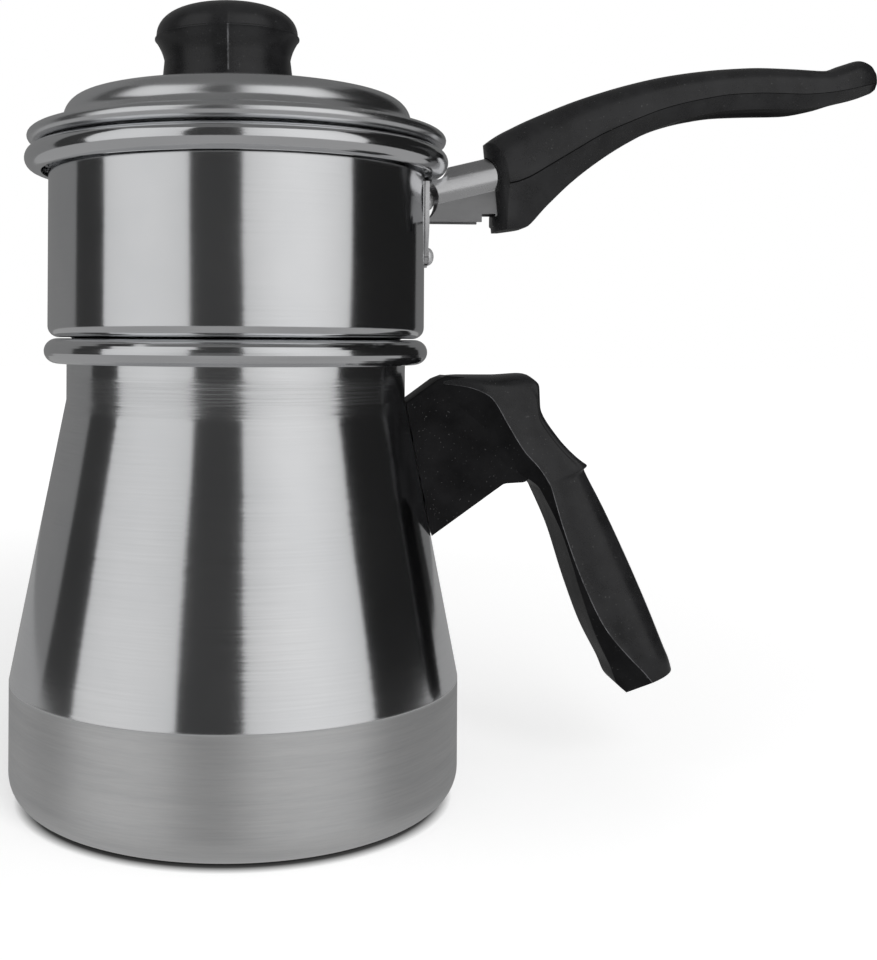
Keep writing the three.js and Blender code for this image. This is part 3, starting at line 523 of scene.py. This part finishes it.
def bright_steel(name, rough=0.16, metallic=1.0, tone=0.64):
    """Plated steel with fine drawn grain."""
    s = Surface(name, Metallic=metallic)
    grain = s.noise(s.scaled(s.place(), 300, 1400, 1400), scale=1, detail=3, rough=0.6)
    cloud = s.noise(s.place(), scale=120)
    s.link(s.mix(cloud, grey(tone - 0.06, 1.02), grey(tone + 0.06, 1.01)), "Base Color")
    s.link(s.spread(s.add(grain, cloud), 0.6, 1.4, rough, rough + 0.14), "Roughness")
    s.link(s.bump(grain, 0.03, 0.00004), "Normal")
    return s.material


def yellow_brass(name):
    """Brass with the marks of the lathe along its height."""
    s = Surface(name, Metallic=1.0)
    _, _, z = spun_place(s)
    cut = s.noise(s.vector(z), scale=2400)
    s.link(s.mix(cut, (0.55, 0.40, 0.17, 1), (0.72, 0.56, 0.28, 1)), "Base Color")
    s.link(s.spread(cut, *MOST, 0.25, 0.42), "Roughness")
    s.link(s.bump(cut, 0.3, 0.0001), "Normal")
    return s.material


def black_phenolic(name, dark=0.009, light=0.018, specular=0.34, patch=90):
    """Satin moulded phenolic: fine grain, soft mottling and fine specks of dust."""
    s = Surface(name, Specular_IOR_Level=specular)
    place = s.place()
    grain = s.noise(place, scale=2200, detail=3, rough=0.65)
    mottle = s.noise(place, scale=patch, detail=4, rough=0.6)
    dust = s.spread(s.noise(place, scale=1700, detail=1, rough=0.4), 0.74, 0.775, 0, 1)
    base = s.mix(s.spread(mottle, *MOST, 0, 1), grey(dark, 1.05), grey(light, 1.05))
    s.link(s.mix(dust, base, grey(0.06)), "Base Color")
    s.link(s.add(s.spread(mottle, *MOST, 0.18, 0.27), s.times(grain, 0.12)), "Roughness")
    s.link(s.bump(s.add(grain, mottle), 0.24, 0.00006), "Normal")
    return s.material


def dress(obj, *materials, index=None):
    """Puts materials on a piece; an index sends all its faces to one of them."""
    for material in materials:
        obj.data.materials.append(material)
    if index is not None:
        for face in obj.data.polygons:
            face.material_index = index
    return obj


def finish(obj, material, slot, body, *nodes):
    """Puts a piece under its body's empty, gives it the material where it has none and hides the nodes it
    stands for; slot is not used.
    """
    if not obj.data.materials:
        obj.data.materials.append(material)
    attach(obj, body)
    if nodes:
        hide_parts(*nodes)
    return obj


BOILER_METAL = aluminium(
    "boiler_aluminium", band=BAND_HEIGHT * MM, lines=(0.1195, 0.1325), rough=0.125, marks=0.04)
PAN_METAL = aluminium("pan_aluminium", rough=0.12, marks=0.018)
LID_METAL = aluminium("lid_aluminium", rough=0.25)
PLATE_METAL = aluminium("plate_aluminium", rough=0.22)
STEEL = bright_steel("bright_steel")
BRASS = yellow_brass("yellow_brass")
BRACKET_STEEL = bright_steel("bracket_steel", rough=0.17, tone=0.68)
# Darker, rougher copy of the bracket steel for the legs' upright faces: painted shade
PAINTED_SHADE_LEG_STEEL = bright_steel("bracket_leg_painted_shade_steel", rough=0.42, tone=0.36)
RIVET_METAL = bright_steel("rivet_metal", rough=0.28, metallic=0.6)
PHENOLIC = black_phenolic("black_phenolic")
# Darker copy with almost no reflection: painted shade on the handles' inner faces, the grip's lower wall
# and its web
PAINTED_SHADE_PHENOLIC = black_phenolic("painted_shade_phenolic", dark=0.006, light=0.012, specular=0.012)
# Lighter, shinier copy on the raised parting lines of the grip and knob: a painted highlight
PAINTED_HIGHLIGHT_SEAM = black_phenolic("painted_highlight_seam", dark=0.015, light=0.13, specular=0.5, patch=420)
# Near-black copy on the long handle's sunk parting line: painted shade in the groove
PAINTED_SHADE_SEAM = black_phenolic("painted_shade_seam", dark=0.002, light=0.003, specular=0.05)


# Spun shells
BASE_RING = 30  # radius of a ring of points on the flat base
BOILER_SHARP, SHELL_SHARP = 9, 40
FLARE_POWER, FLARE_SHARE = 4, 0.95


def boiler():
    corner = BASE_CORNER - HALF
    path = [(0, HALF), (BASE_RING, HALF)]
    path += bend(BASE_RADIUS - BASE_CORNER, BASE_CORNER, corner, corner, -90, 0, 12)
    path += [(BASE_RADIUS - HALF, BAND_HEIGHT), (NECK_RADIUS - HALF, CONE_TOP)]
    path += rolled_edge(NECK_RADIUS - HALF, BOILER_BEAD_Z, BOILER_BEAD)
    shell = lathe("boiler_shell", sheet_outline(path), sharp=BOILER_SHARP)
    finish(shell, BOILER_METAL, "aluminium", "boiler", "boiler_body")


def pan():
    corner = PAN_RADIUS - HALF - PAN_CORNER
    middle, spigot = LEDGE + HALF, SPIGOT_RADIUS - HALF
    path = [(spigot, LEDGE - SPIGOT_DEPTH)]
    path += bend(spigot + SPIGOT_BEND, middle - SPIGOT_BEND, SPIGOT_BEND, SPIGOT_BEND, 180, 90, 8)
    path += bend(corner, middle + PAN_CORNER, PAN_CORNER, PAN_CORNER, -90, 0, 10)
    for t in np.linspace(0, FLARE_SHARE, 12):
        out = PAN_FLARE * t ** FLARE_POWER
        path.append((PAN_RADIUS - HALF + out, PAN_BEAD_Z - PAN_FLARE_HEIGHT * (1 - t)))
    path += rolled_edge(PAN_MOUTH + HALF, PAN_BEAD_Z, PAN_BEAD)
    shell = lathe("pan_shell", sheet_outline(path), sharp=SHELL_SHARP)
    finish(shell, PAN_METAL, "aluminium", "steamer", "steamer_pan")


def lid():
    middle = LID_STEP + HALF - LID_SHOULDER
    centre = LID_CROWN - LID_CROWN_RADIUS
    lean = math.asin(middle / (LID_CROWN_RADIUS - LID_SHOULDER))
    shoulder = centre + (LID_CROWN_RADIUS - LID_SHOULDER) * math.cos(lean)
    angle = 90 - math.degrees(lean)
    crown, turn, groove = LID_CROWN_RADIUS - HALF, LID_SHOULDER - HALF, LID_GROOVE / 2
    path = [(0, LID_CROWN - HALF)] + bend(0, centre, crown, crown, 90, angle, 16)[1:]
    path += bend(middle, shoulder, turn, turn, angle, LID_FOOT_START, 14)[1:]
    start, reach = math.radians(LID_FOOT_START), turn + LID_FOOT_RADIUS
    out, up = middle + reach * math.cos(start), shoulder + reach * math.sin(start)
    first, last = 180 + LID_FOOT_START, 180 + LID_FOOT_END
    path += bend(out, up, LID_FOOT_RADIUS, LID_FOOT_RADIUS, first, last, 8)[1:]
    drop = LID_FOOT_RUN / math.tan(math.radians(LID_FOOT_END))
    path.append((path[-1][0] + LID_FOOT_RUN, path[-1][1] - drop))
    path += bend(LID_STEP + groove, PAN_TOP - LID_SINK + HALF + groove, groove, groove, 180, 360, 12)
    path += rolled_edge(LID_WALL, LID_EDGE_Z, LID_EDGE)
    shell = lathe("lid_shell", sheet_outline(path), sharp=SHELL_SHARP)
    finish(shell, LID_METAL, "aluminium", "lid", "lid")


def plate():
    """Perforated plate with rounded hole edges."""
    def ring(radius, count, x=0.0, y=0.0):
        angles = np.arange(count) * 2 * math.pi / count
        return [(x + radius * math.cos(a), y + radius * math.sin(a)) for a in angles]

    pitch = (PLATE_RADIUS - PLATE_BORDER - PLATE_HOLE) / PLATE_RINGS
    loops = [ring(PLATE_RADIUS, PLATE_FACETS)]
    for k in range(PLATE_RINGS + 1):
        loops += [ring(PLATE_HOLE, HOLE_FACETS, x, y) for x, y in ring(k * pitch, max(1, 6 * k))]
    flat = [point for loop in loops for point in loop]
    triangles = tessellate_polygon([[Vector((x, y, 0)) for x, y in loop] for loop in loops])
    count = len(flat)
    points = [(x, y, z) for z in (PLATE_Z, PLATE_Z + SHEET) for x, y in flat]
    faces = [list(t) for t in triangles] + [[count + i for i in t] for t in triangles]
    start = 0
    for loop in loops:
        size = len(loop)
        for i in range(size):
            a, b = start + i, start + (i + 1) % size
            faces.append([a, b, count + b, count + a])
        start += size
    disc = soften(mesh_object("plate_disc", points, faces), width=0.2, segments=2, angle=50)
    finish(disc, PLATE_METAL, "aluminium", "steam_plate", "steam_plate")


# Knob with a parting line down the front and the back, square to the dome under it
KNOB_LEAN = math.asin(KNOB_SHIFT / LID_CROWN_RADIUS)
KNOB_AXIS = Vector((-math.sin(KNOB_LEAN), 0, math.cos(KNOB_LEAN)))
KNOB_SEAT = Vector((0, 0, LID_CROWN - LID_CROWN_RADIUS)) + KNOB_AXIS * LID_CROWN_RADIUS


def knob():
    foot = LID_CROWN_RADIUS + SEAT_GAP
    lean = math.degrees(math.asin(KNOB_FOOT / foot))
    seam, waist = KNOB_SEAM_HEIGHT, KNOB_WAIST_HEIGHT
    outline = [(0, SEAT_GAP)]
    outline += bend(0, -LID_CROWN_RADIUS, foot, foot, 90, 90 - lean, 8)[1:]
    outline += [(KNOB_FOOT + out, up) for out, up in KNOB_TOE]
    for t in np.linspace(SWELL_START, 1, 14):
        r = KNOB_WAIST + (KNOB_RADIUS - KNOB_LIP - KNOB_WAIST) * t ** SWELL_POWER
        outline.append((r, waist - SWELL_SINK + (seam - waist + SWELL_RISE) * t))
    outline += [(KNOB_RADIUS + out, seam + up) for out, up in KNOB_BAND]
    crown = seam + CROWN_STEP
    for angle in np.linspace(CROWN_START, 90, 20):
        a = math.radians(angle)
        r = (KNOB_RADIUS - CROWN_IN) * max(math.cos(a), 0) ** CROWN_POWER
        outline.append((r if angle < 90 else 0, crown + (KNOB_HEIGHT - crown) * math.sin(a) ** CROWN_RISE))

    def parting(angle, radius, height):
        away = min(abs(angle - 0.5 * math.pi), abs(angle - 1.5 * math.pi)) * radius
        raised = radius > PARTING_RADIUS and height > PARTING_START
        return PARTING_HEIGHT * max(0, 1 - away / PARTING_HALF) if raised else 0

    # Faces on the flash line take the lighter phenolic, a painted highlight
    def flash(turn, radius, height):
        return turn in (0.25, 0.75) and PARTING_START <= height < seam

    body = lathe("knob_body", outline, relief=parting, sharp=KNOB_SHARP, line=flash)
    dress(body, PHENOLIC, PAINTED_HIGHLIGHT_SEAM)
    finish(aim(body, KNOB_SEAT, KNOB_AXIS), PHENOLIC, "phenolic", "lid", "lid_knob")


# Boiler handle
def boiler_handle():
    origin = (NECK_RADIUS, CONE_TOP)
    # The grip's lower wall, inner face and web take painted shade, its parting line a painted highlight
    phenolics_with_painted_light = PHENOLIC, PAINTED_HIGHLIGHT_SEAM, PAINTED_SHADE_PHENOLIC
    grip = moulded("boiler_grip", smooth_rows(GRIP, ROW_STEPS), origin, GRIP_SEAM, inner_index=PAINTED_SHADE)
    soften(dress(grip, *phenolics_with_painted_light), **HANDLE_EDGE)
    web = prism("web", [(NECK_RADIUS + x, CONE_TOP + z) for x, z in BLOCK], BLOCK_HALF)
    combine(grip, dress(soften(web, width=0.8), *phenolics_with_painted_light, index=PAINTED_SHADE), "UNION")
    base, neck = BASE_RADIUS + SEAT_GAP, NECK_RADIUS + SEAT_GAP
    space = [(0, 0), (base, 0), (base, BAND_HEIGHT), (neck, CONE_TOP), (neck, BOILER_TOP), (0, BOILER_TOP)]
    combine(grip, lathe("space", space), "DIFFERENCE")
    finish(refine(grip, JOINED_SHARP), PHENOLIC, "phenolic", "boiler", "boiler_handle")


# Long handle, with a hollow along its underside and a pocket for the tang
def arch(name, start, stop, margin, drop):
    """Filled channel: a round top that closes in on straight legs, grown by a margin."""
    slope, half, leg = math.tan(math.radians(TANG_TILT)), TANG_HALF + margin, TANG_LEG + margin
    tuck = math.degrees(math.acos(leg / half))
    rings = []
    for out in (start, ARM_FACE, stop):
        lift = max(0, (out - ARM_FACE) / TANG_DEPTH) * TANG_LIFT
        spring = TANG_TOP + (out - ARM_FACE) * slope + margin - half
        low = TANG_LOW + lift - drop
        section = [(leg, low)] + bend(0, spring, half, half, -tuck, 180 + tuck, 40) + [(-leg, low)]
        rings.append([(PAN_RADIUS + out, y, PAN_BEAD_Z + z) for y, z in section])
    return loft(name, rings)


def on_pan(out, y, up):
    """Point from the pan's wall and the middle of its rim."""
    return (PAN_RADIUS + out, y, PAN_BEAD_Z + up)


def long_handle():
    def hollow(out):
        along = min(max((out - HOLLOW_START) / HOLLOW_LENGTH, 0), 1)
        return HOLLOW_DEPTH * max(0.0, math.sin(math.pi * along)) ** HOLLOW_POWER

    origin = (PAN_RADIUS + ARM_FACE, PAN_BEAD_Z)
    arm = moulded("long_handle", smooth_rows(ARM, ROW_STEPS), origin, ARM_SEAM, hollow)
    # The sunk parting line and the underside take painted shade
    dress(arm, PHENOLIC, PAINTED_SHADE_SEAM, PAINTED_SHADE_PHENOLIC)
    reach = 3 * ARM_NOSE
    front = block("front", on_pan(0, -ARM_NOSE, -reach), on_pan(ARM_FACE + ARM_NOSE, ARM_NOSE, reach))
    lean = math.radians(ARM_LEAN)
    nose = lathe("nose", [(0, -reach), (ARM_NOSE, -reach), (ARM_NOSE, reach), (0, reach)], 128)
    aim(nose, on_pan(ARM_FACE + ARM_NOSE, 0, 0), (-math.sin(lean), 0, math.cos(lean)))
    combine(arm, combine(front, nose, "DIFFERENCE"), "DIFFERENCE")
    end = ARM_FACE + TANG_DEPTH
    combine(arm, arch("pocket", ARM_FACE - TANG_DEPTH, end + SEAT_GAP, SEAT_GAP, SEAT_GAP), "DIFFERENCE")
    soften(arm, **HANDLE_EDGE)
    start, low, high = ARM_FACE + LUG_START, TANG_LOW - LUG_ROOT, TANG_LOW + TANG_NOTCH_HEIGHT
    half = TANG_LEG - TANG_SHEET - SEAT_GAP
    lug = block("lug", on_pan(start, -half, low), on_pan(start + LUG_LENGTH, half, high))
    combine(arm, soften(lug, width=0.6), "UNION")
    finish(refine(arm, JOINED_SHARP), PHENOLIC, "phenolic", "steamer", "steamer_handle")


def rim_grown(name, margin):
    """Solid of the pan's rolled rim, grown by a margin."""
    reach, rise = PAN_BEAD[0] + margin, PAN_BEAD[1] + margin
    return lathe(name, bend(PAN_MOUTH + PAN_BEAD[0], PAN_BEAD_Z, reach, rise, 0, 360, 48)[:-1])


UPRIGHT = 0.99  # least part of a leg's normal that points sideways


def bracket():
    """Flange on the pan wall, saddle under the rim and channel into the handle."""
    face, end = SEAT_GAP + FLANGE_SHEET, ARM_FACE + TANG_DEPTH
    body = arch("bracket_sheet", 0, end, 0, 0)
    combine(body, arch("inside", face, end - TANG_SHEET, -TANG_SHEET, TANG_LIFT), "DIFFERENCE")
    cut = [(0, -CUT_REACH), (RIVET_CUTOUT, -CUT_REACH), (RIVET_CUTOUT, CUT_REACH), (0, CUT_REACH)]
    centre = on_pan(face + RIVET_REVEAL - RIVET_CUTOUT, 0, RIVETS["upper"])
    combine(body, aim(lathe("cutout", cut, 96), centre, (0, 1, 0)), "DIFFERENCE")
    half, high = TANG_NOTCH_WIDTH / 2, TANG_LOW + TANG_NOTCH_HEIGHT
    low = on_pan(ARM_FACE - half, -CUT_REACH, TANG_LOW - TANG_NOTCH_HEIGHT)
    combine(body, block("notch", low, on_pan(ARM_FACE + half, CUT_REACH, high)), "DIFFERENCE")
    saddle = arch("saddle", 0, end, 0, 0)
    combine(body, combine(saddle, rim_grown("grown", BEAD_CLEARANCE + TANG_SHEET), "INTERSECT"), "UNION")
    outline = [(-FLANGE_HALF, FLANGE_TOP), (-FLANGE_HALF, FLANGE_SHOULDER)]
    outline += bend(0, RIVETS["lower"], TONGUE_HALF, TONGUE_HALF, 180, 360, 20)
    outline += [(FLANGE_HALF, FLANGE_SHOULDER), (FLANGE_HALF, FLANGE_TOP)]
    flange = loft("flange", [[on_pan(out, y, z) for y, z in outline] for out in (-PAN_CORNER, face)])
    combine(body, flange, "UNION")
    wall = PAN_RADIUS + SEAT_GAP
    inside = [(0, LEDGE), (wall, LEDGE), (wall, PAN_BEAD_Z), (0, PAN_BEAD_Z)]
    combine(body, lathe("wall", inside), "DIFFERENCE")
    combine(body, rim_grown("rim", BEAD_CLEARANCE), "DIFFERENCE")
    soften(body, width=0.22, segments=2, angle=40)
    # The legs' upright faces take the darker steel as painted shade
    dress(body, BRACKET_STEEL, PAINTED_SHADE_LEG_STEEL)
    for side in body.data.polygons:
        upright = abs(side.normal.y) > UPRIGHT
        side.material_index = int(upright and abs(side.center.y) < (TANG_LEG + TANG_HALF) / 2 * MM)
    finish(body, BRACKET_STEEL, "steel", "steamer", "steamer_bracket")


# Fasteners
def ring_piece(name, bore, radius, start, stop, point, direction):
    """Turned ring with broken outer edges."""
    edge = FASTENER_EDGE
    outline = [(bore, start), (radius - edge, start), (radius, start + edge), (radius, stop - edge),
               (radius - edge, stop), (bore, stop)]
    return aim(lathe(name, outline, FASTENER_FACETS), point, direction)


def screw(name, reach, point, direction):
    """Slotted screw with a rounded head below its point and grooves for the thread."""
    dome, half = HEAD_HEIGHT / 2, SLOT_WIDTH / 2
    outline = [(0, -HEAD_HEIGHT)] + bend(HEAD / 2, -dome, HEAD / 2, dome, -90, 0, 8)
    outline += [(HEAD, 0), (SHANK, 0)]
    for i in range(int((reach - THREAD_START - SCREW_TIP) / THREAD_PITCH)):
        z = THREAD_START + i * THREAD_PITCH
        outline += [(SHANK, z), (SHANK - THREAD_DEPTH, z + THREAD_PITCH / 2)]
    outline += [(SHANK, reach - SCREW_TIP), (SHANK / 2, reach), (0, reach)]
    body = lathe(name, outline, FASTENER_FACETS)
    low, high = (-half, -SLOT_REACH, -2 * HEAD_HEIGHT), (half, SLOT_REACH, SLOT_DEPTH - HEAD_HEIGHT)
    slot = block("slot", low, high)
    return refine(aim(combine(body, slot, "DIFFERENCE"), point, direction), SHARP)


def fixing(prefix, body, point, direction, insert, washer=True, back=None, ring=""):
    """Screw, insert and washer along a direction through a wall whose outer face is at a point."""
    direction = Vector(direction).normalized()
    wall, bore = SHEET + WALL_STANDOFF, SHANK + SEAT_GAP
    back = back or wall + WASHER_THICKNESS + SEAT_GAP
    head = Vector(point) - direction * back
    name = f"{prefix}_screw{ring}"
    finish(screw("slotted_" + name, back + SCREW_REACH, head, direction), STEEL, "steel", body, name)
    name = f"{prefix}_insert{ring}"
    part = ring_piece("turned_" + name, bore, INSERT, insert, insert + INSERT_LENGTH, point, direction)
    finish(part, BRASS, "brass", body, name)
    if washer:
        name = f"{prefix}_washer{ring}"
        start = -wall - WASHER_THICKNESS
        part = ring_piece("plain_" + name, bore, WASHER, start, -wall, point, direction)
        finish(part, STEEL, "steel", body, name)


def rivets():
    seat, back = SEAT_GAP + FLANGE_SHEET + SEAT_GAP, -SHEET - WALL_STANDOFF
    tail = back - RIVET_TAIL
    outline = [(0, tail), (RIVET_TAIL_END, tail), (RIVET_HEAD, back), (RIVET_SHANK, back)]
    outline += [(RIVET_SHANK, seat)] + bend(0, seat, RIVET_HEAD, RIVET_DOME, 0, 90, 10)[:-1]
    outline.append((0, seat + RIVET_DOME))
    for level, up in RIVETS.items():
        head = aim(lathe("round_head_" + level, outline, RIVET_FACETS), on_pan(0, 0, up), (1, 0, 0))
        finish(head, RIVET_METAL, "steel", "steamer", "steamer_rivet_" + level)


boiler()
pan()
lid()
plate()
knob()
boiler_handle()
long_handle()
bracket()
rivets()
cone = (NECK_RADIUS - BASE_RADIUS, CONE_TOP - BAND_HEIGHT)
for level, drop in BOILER_SCREWS.items():
    spot = (NECK_RADIUS - cone[0] * drop / cone[1], 0, CONE_TOP - drop)
    fixing("boiler_handle", "boiler", spot, (cone[1], 0, -cone[0]), 2 * SEAT_GAP, ring="_" + level)
fixing("lid_knob", "lid", KNOB_SEAT, KNOB_AXIS, 2 * SEAT_GAP)
tilt = math.radians(TANG_TILT)
tang_end = on_pan(ARM_FACE + TANG_DEPTH, 0, TANG_TOP + TANG_DEPTH * math.tan(tilt) - TANG_SCREW_DROP)
head_back = TANG_SHEET / math.cos(tilt) + HEAD * math.tan(tilt) + SEAT_GAP
along = (math.cos(tilt), 0, math.sin(tilt))
fixing("steamer_handle", "steamer", tang_end, along, TANG_INSERT_SINK, washer=False, back=head_back)


# Studio: a pale floor, two large soft panels and dark cards that the polished metal mirrors
STUDIO_RADIUS, STUDIO_HEIGHT, CARD_STEPS = 800, 1150, 24
CARDS = [  # name, first and last bearing in degrees, strength, and how far a panel swells
    ("panel_left", -82, -27, 0.64, 0.12), ("panel_right", 3, 68, 0.68, 0.25),
    ("card_front", -27, 3, 0.045, 0), ("card_right", 68, 134, 0.014, 0), ("card_left", -107, -82, 0.035, 0),
    ("card_back_left", -180, -107, 0.19, 0), ("card_back_right", 134, 180, 0.15, 0),
]
CEILING_STRENGTH, CEILING_FACETS = 0.15, 48
TABLE_STRENGTH, TABLE_INNER, TABLE_UP, TABLE_FACETS = 0.31, 63.5, 0.3, 64
FLOOR_HALF, FLOOR_DROP = 6000, -0.0002
CONTACT_START, CONTACT_END = 0.0645, 0.069  # painted contact shadow under the base, in the floor's colour and glow
GLOW_START, GLOW_END, GLOW_NEAR, GLOW_FAR = 0.12, 0.9, 0.44, 0.72
LAMP_POWER, LAMP_SIZE, LAMP_PLACE, LAMP_TARGET = 6.0, 0.6, (0.28, -0.86, 0.42), (0.08, 0, 0.13)
SKY_LIGHT, SKY_SEEN = 0.42, 1.0


def stage_mesh(name, points, faces, material):
    mesh = bpy.data.meshes.new(name)
    mesh.from_pydata([Vector(point) * MM for point in points], [], faces)
    mesh.materials.append(material)
    obj = bpy.data.objects.new(name, mesh)
    bpy.context.scene.collection.objects.link(obj)
    return obj


def circle(radius, height, count):
    angles = np.linspace(0, 2 * math.pi, count + 1)[:-1]
    return [(radius * math.cos(a), radius * math.sin(a), height) for a in angles]


def seen(surface):
    """1 for the camera's rays and for those in mirrors and glass, 0 for light."""
    path = surface.node("LightPath").outputs
    mirrored = surface.math("MAXIMUM", path["Is Glossy Ray"], path["Is Transmission Ray"])
    return surface.math("MAXIMUM", path["Is Camera Ray"], mirrored)


def emission(name, strength, swell=None):
    """Plain glow; a swell makes it brighter half way between two bearings."""
    material = bpy.data.materials.new(name)
    material.use_nodes = True
    material.node_tree.nodes.clear()
    s = Surface.over(material.node_tree)
    level = strength
    if swell:
        start, stop, share = swell
        x, y, _ = s.node("SeparateXYZ", {0: s.place()}).outputs
        bearing = s.math("ARCTAN2", x, s.times(y, -1.0))
        arc = s.math("SINE", s.spread(bearing, math.radians(start), math.radians(stop), 0, math.pi))
        level = s.add(s.times(arc, share * strength), strength * (1 - share / 2))
    glow = s.node("Emission", {"Strength": level}).outputs[0]
    s.node("OutputMaterial", {"Surface": glow})
    return material


def card(name, start, stop, strength, swell):
    """Upright curved card round the object; bearings run from the camera's side, rightwards."""
    points = []
    for a in np.radians(np.linspace(start, stop, CARD_STEPS + 1)):
        x, y = STUDIO_RADIUS * math.sin(a), -STUDIO_RADIUS * math.cos(a)
        points += [(x, y, 0), (x, y, STUDIO_HEIGHT)]
    faces = [[2 * i, 2 * i + 2, 2 * i + 3, 2 * i + 1] for i in range(CARD_STEPS)]
    obj = stage_mesh(name, points, faces, emission(name, strength, (start, stop, swell) if swell else None))
    obj.visible_camera = obj.visible_shadow = False
    obj.visible_diffuse = bool(swell)


def mirrored_card(name, points, faces, strength):
    """Level card that only the mirrors see."""
    obj = stage_mesh(name, points, faces, emission(name, strength))
    obj.visible_camera = obj.visible_shadow = obj.visible_diffuse = False


def table_card():
    """Grey ring on the floor, from under the corner of the base."""
    count = TABLE_FACETS
    points = circle(TABLE_INNER, TABLE_UP, count) + circle(STUDIO_RADIUS, TABLE_UP, count)
    faces = [[i, (i + 1) % count, count + (i + 1) % count, count + i] for i in range(count)]
    mirrored_card("card_table", points, faces, TABLE_STRENGTH)


def ceiling():
    points = circle(STUDIO_RADIUS, STUDIO_HEIGHT, CEILING_FACETS)
    mirrored_card("card_top", points, [list(range(CEILING_FACETS))], CEILING_STRENGTH)


def front_lamp():
    """Broad lamp beside the camera that lights the mouldings and stays out of the mirrors."""
    data = bpy.data.lights.new("front_lamp", "AREA")
    data.energy, data.size = LAMP_POWER, LAMP_SIZE
    obj = bpy.data.objects.new("front_lamp", data)
    bpy.context.scene.collection.objects.link(obj)
    obj.location = LAMP_PLACE
    obj.rotation_euler = (Vector(LAMP_TARGET) - obj.location).to_track_quat("-Z", "Y").to_euler()
    obj.visible_camera = obj.visible_glossy = False


def floor():
    """Pale floor with a narrow contact shadow painted into its colour and glow, brighter away from the
    object where it is seen.
    """
    s = Surface("pale_floor", Roughness=0.9, Specular_IOR_Level=0.0, Emission_Color=WHITE)
    pale = s.mix(s.noise(s.place(), scale=3), grey(0.80), grey(0.83))
    away = s.node("VectorMath", {0: s.place()}, operation="LENGTH").outputs["Value"]
    # Painted contact shadow: near the base the floor's colour falls to dark grey and its glow to nothing
    clear = s.spread(away, CONTACT_START, CONTACT_END, 0, 1)
    glow = s.times(clear, s.spread(away, GLOW_START, GLOW_END, GLOW_NEAR, GLOW_FAR))
    s.link(s.mix(clear, grey(0.1), pale), "Base Color")
    s.link(s.times(seen(s), glow), "Emission Strength")
    half = FLOOR_HALF
    corners = [(-half, -half, 0), (half, -half, 0), (half, half, 0), (-half, half, 0)]
    stage_mesh("floor", corners, [(0, 1, 2, 3)], s.material).location.z = FLOOR_DROP


def world():
    """White where it is seen, darker as light on the object."""
    sky = bpy.data.worlds.new("studio")
    bpy.context.scene.world = sky
    sky.use_nodes = True
    sky.node_tree.nodes.clear()
    s = Surface.over(sky.node_tree)
    level = s.spread(seen(s), 0, 1, SKY_LIGHT, SKY_SEEN)
    background = s.node("Background", {"Color": WHITE, "Strength": level}).outputs[0]
    s.node("OutputWorld", {"Surface": background})


def camera():
    """Level camera in front of the axis, with the photo's framing."""
    width, height, focal = 877, 960, 1326
    middle, horizon = 320.4, 338.6  # where the optical axis meets the picture
    yaw, roll = math.radians(-3.59), math.radians(0.31)
    data = bpy.data.cameras.new("camera")
    data.sensor_fit, data.sensor_width = "AUTO", 36
    data.lens = focal / height * data.sensor_width
    data.shift_x, data.shift_y = (width / 2 - middle) / height, (horizon - height / 2) / height
    data.clip_start = 0.01
    obj = bpy.data.objects.new("camera", data)
    bpy.context.scene.collection.objects.link(obj)
    obj.location = Vector((0, -425, 143.4)) * MM
    upright = Matrix.Rotation(math.pi / 2, 3, "X")
    turn = Matrix.Rotation(yaw, 3, "Z") @ upright @ Matrix.Rotation(roll, 3, "Z")
    obj.rotation_euler = turn.to_euler()
    bpy.context.scene.camera = obj


for row in CARDS:
    card(*row)
table_card()
ceiling()
front_lamp()
floor()
world()
camera()
bpy.context.scene.view_settings.view_transform = "Standard"
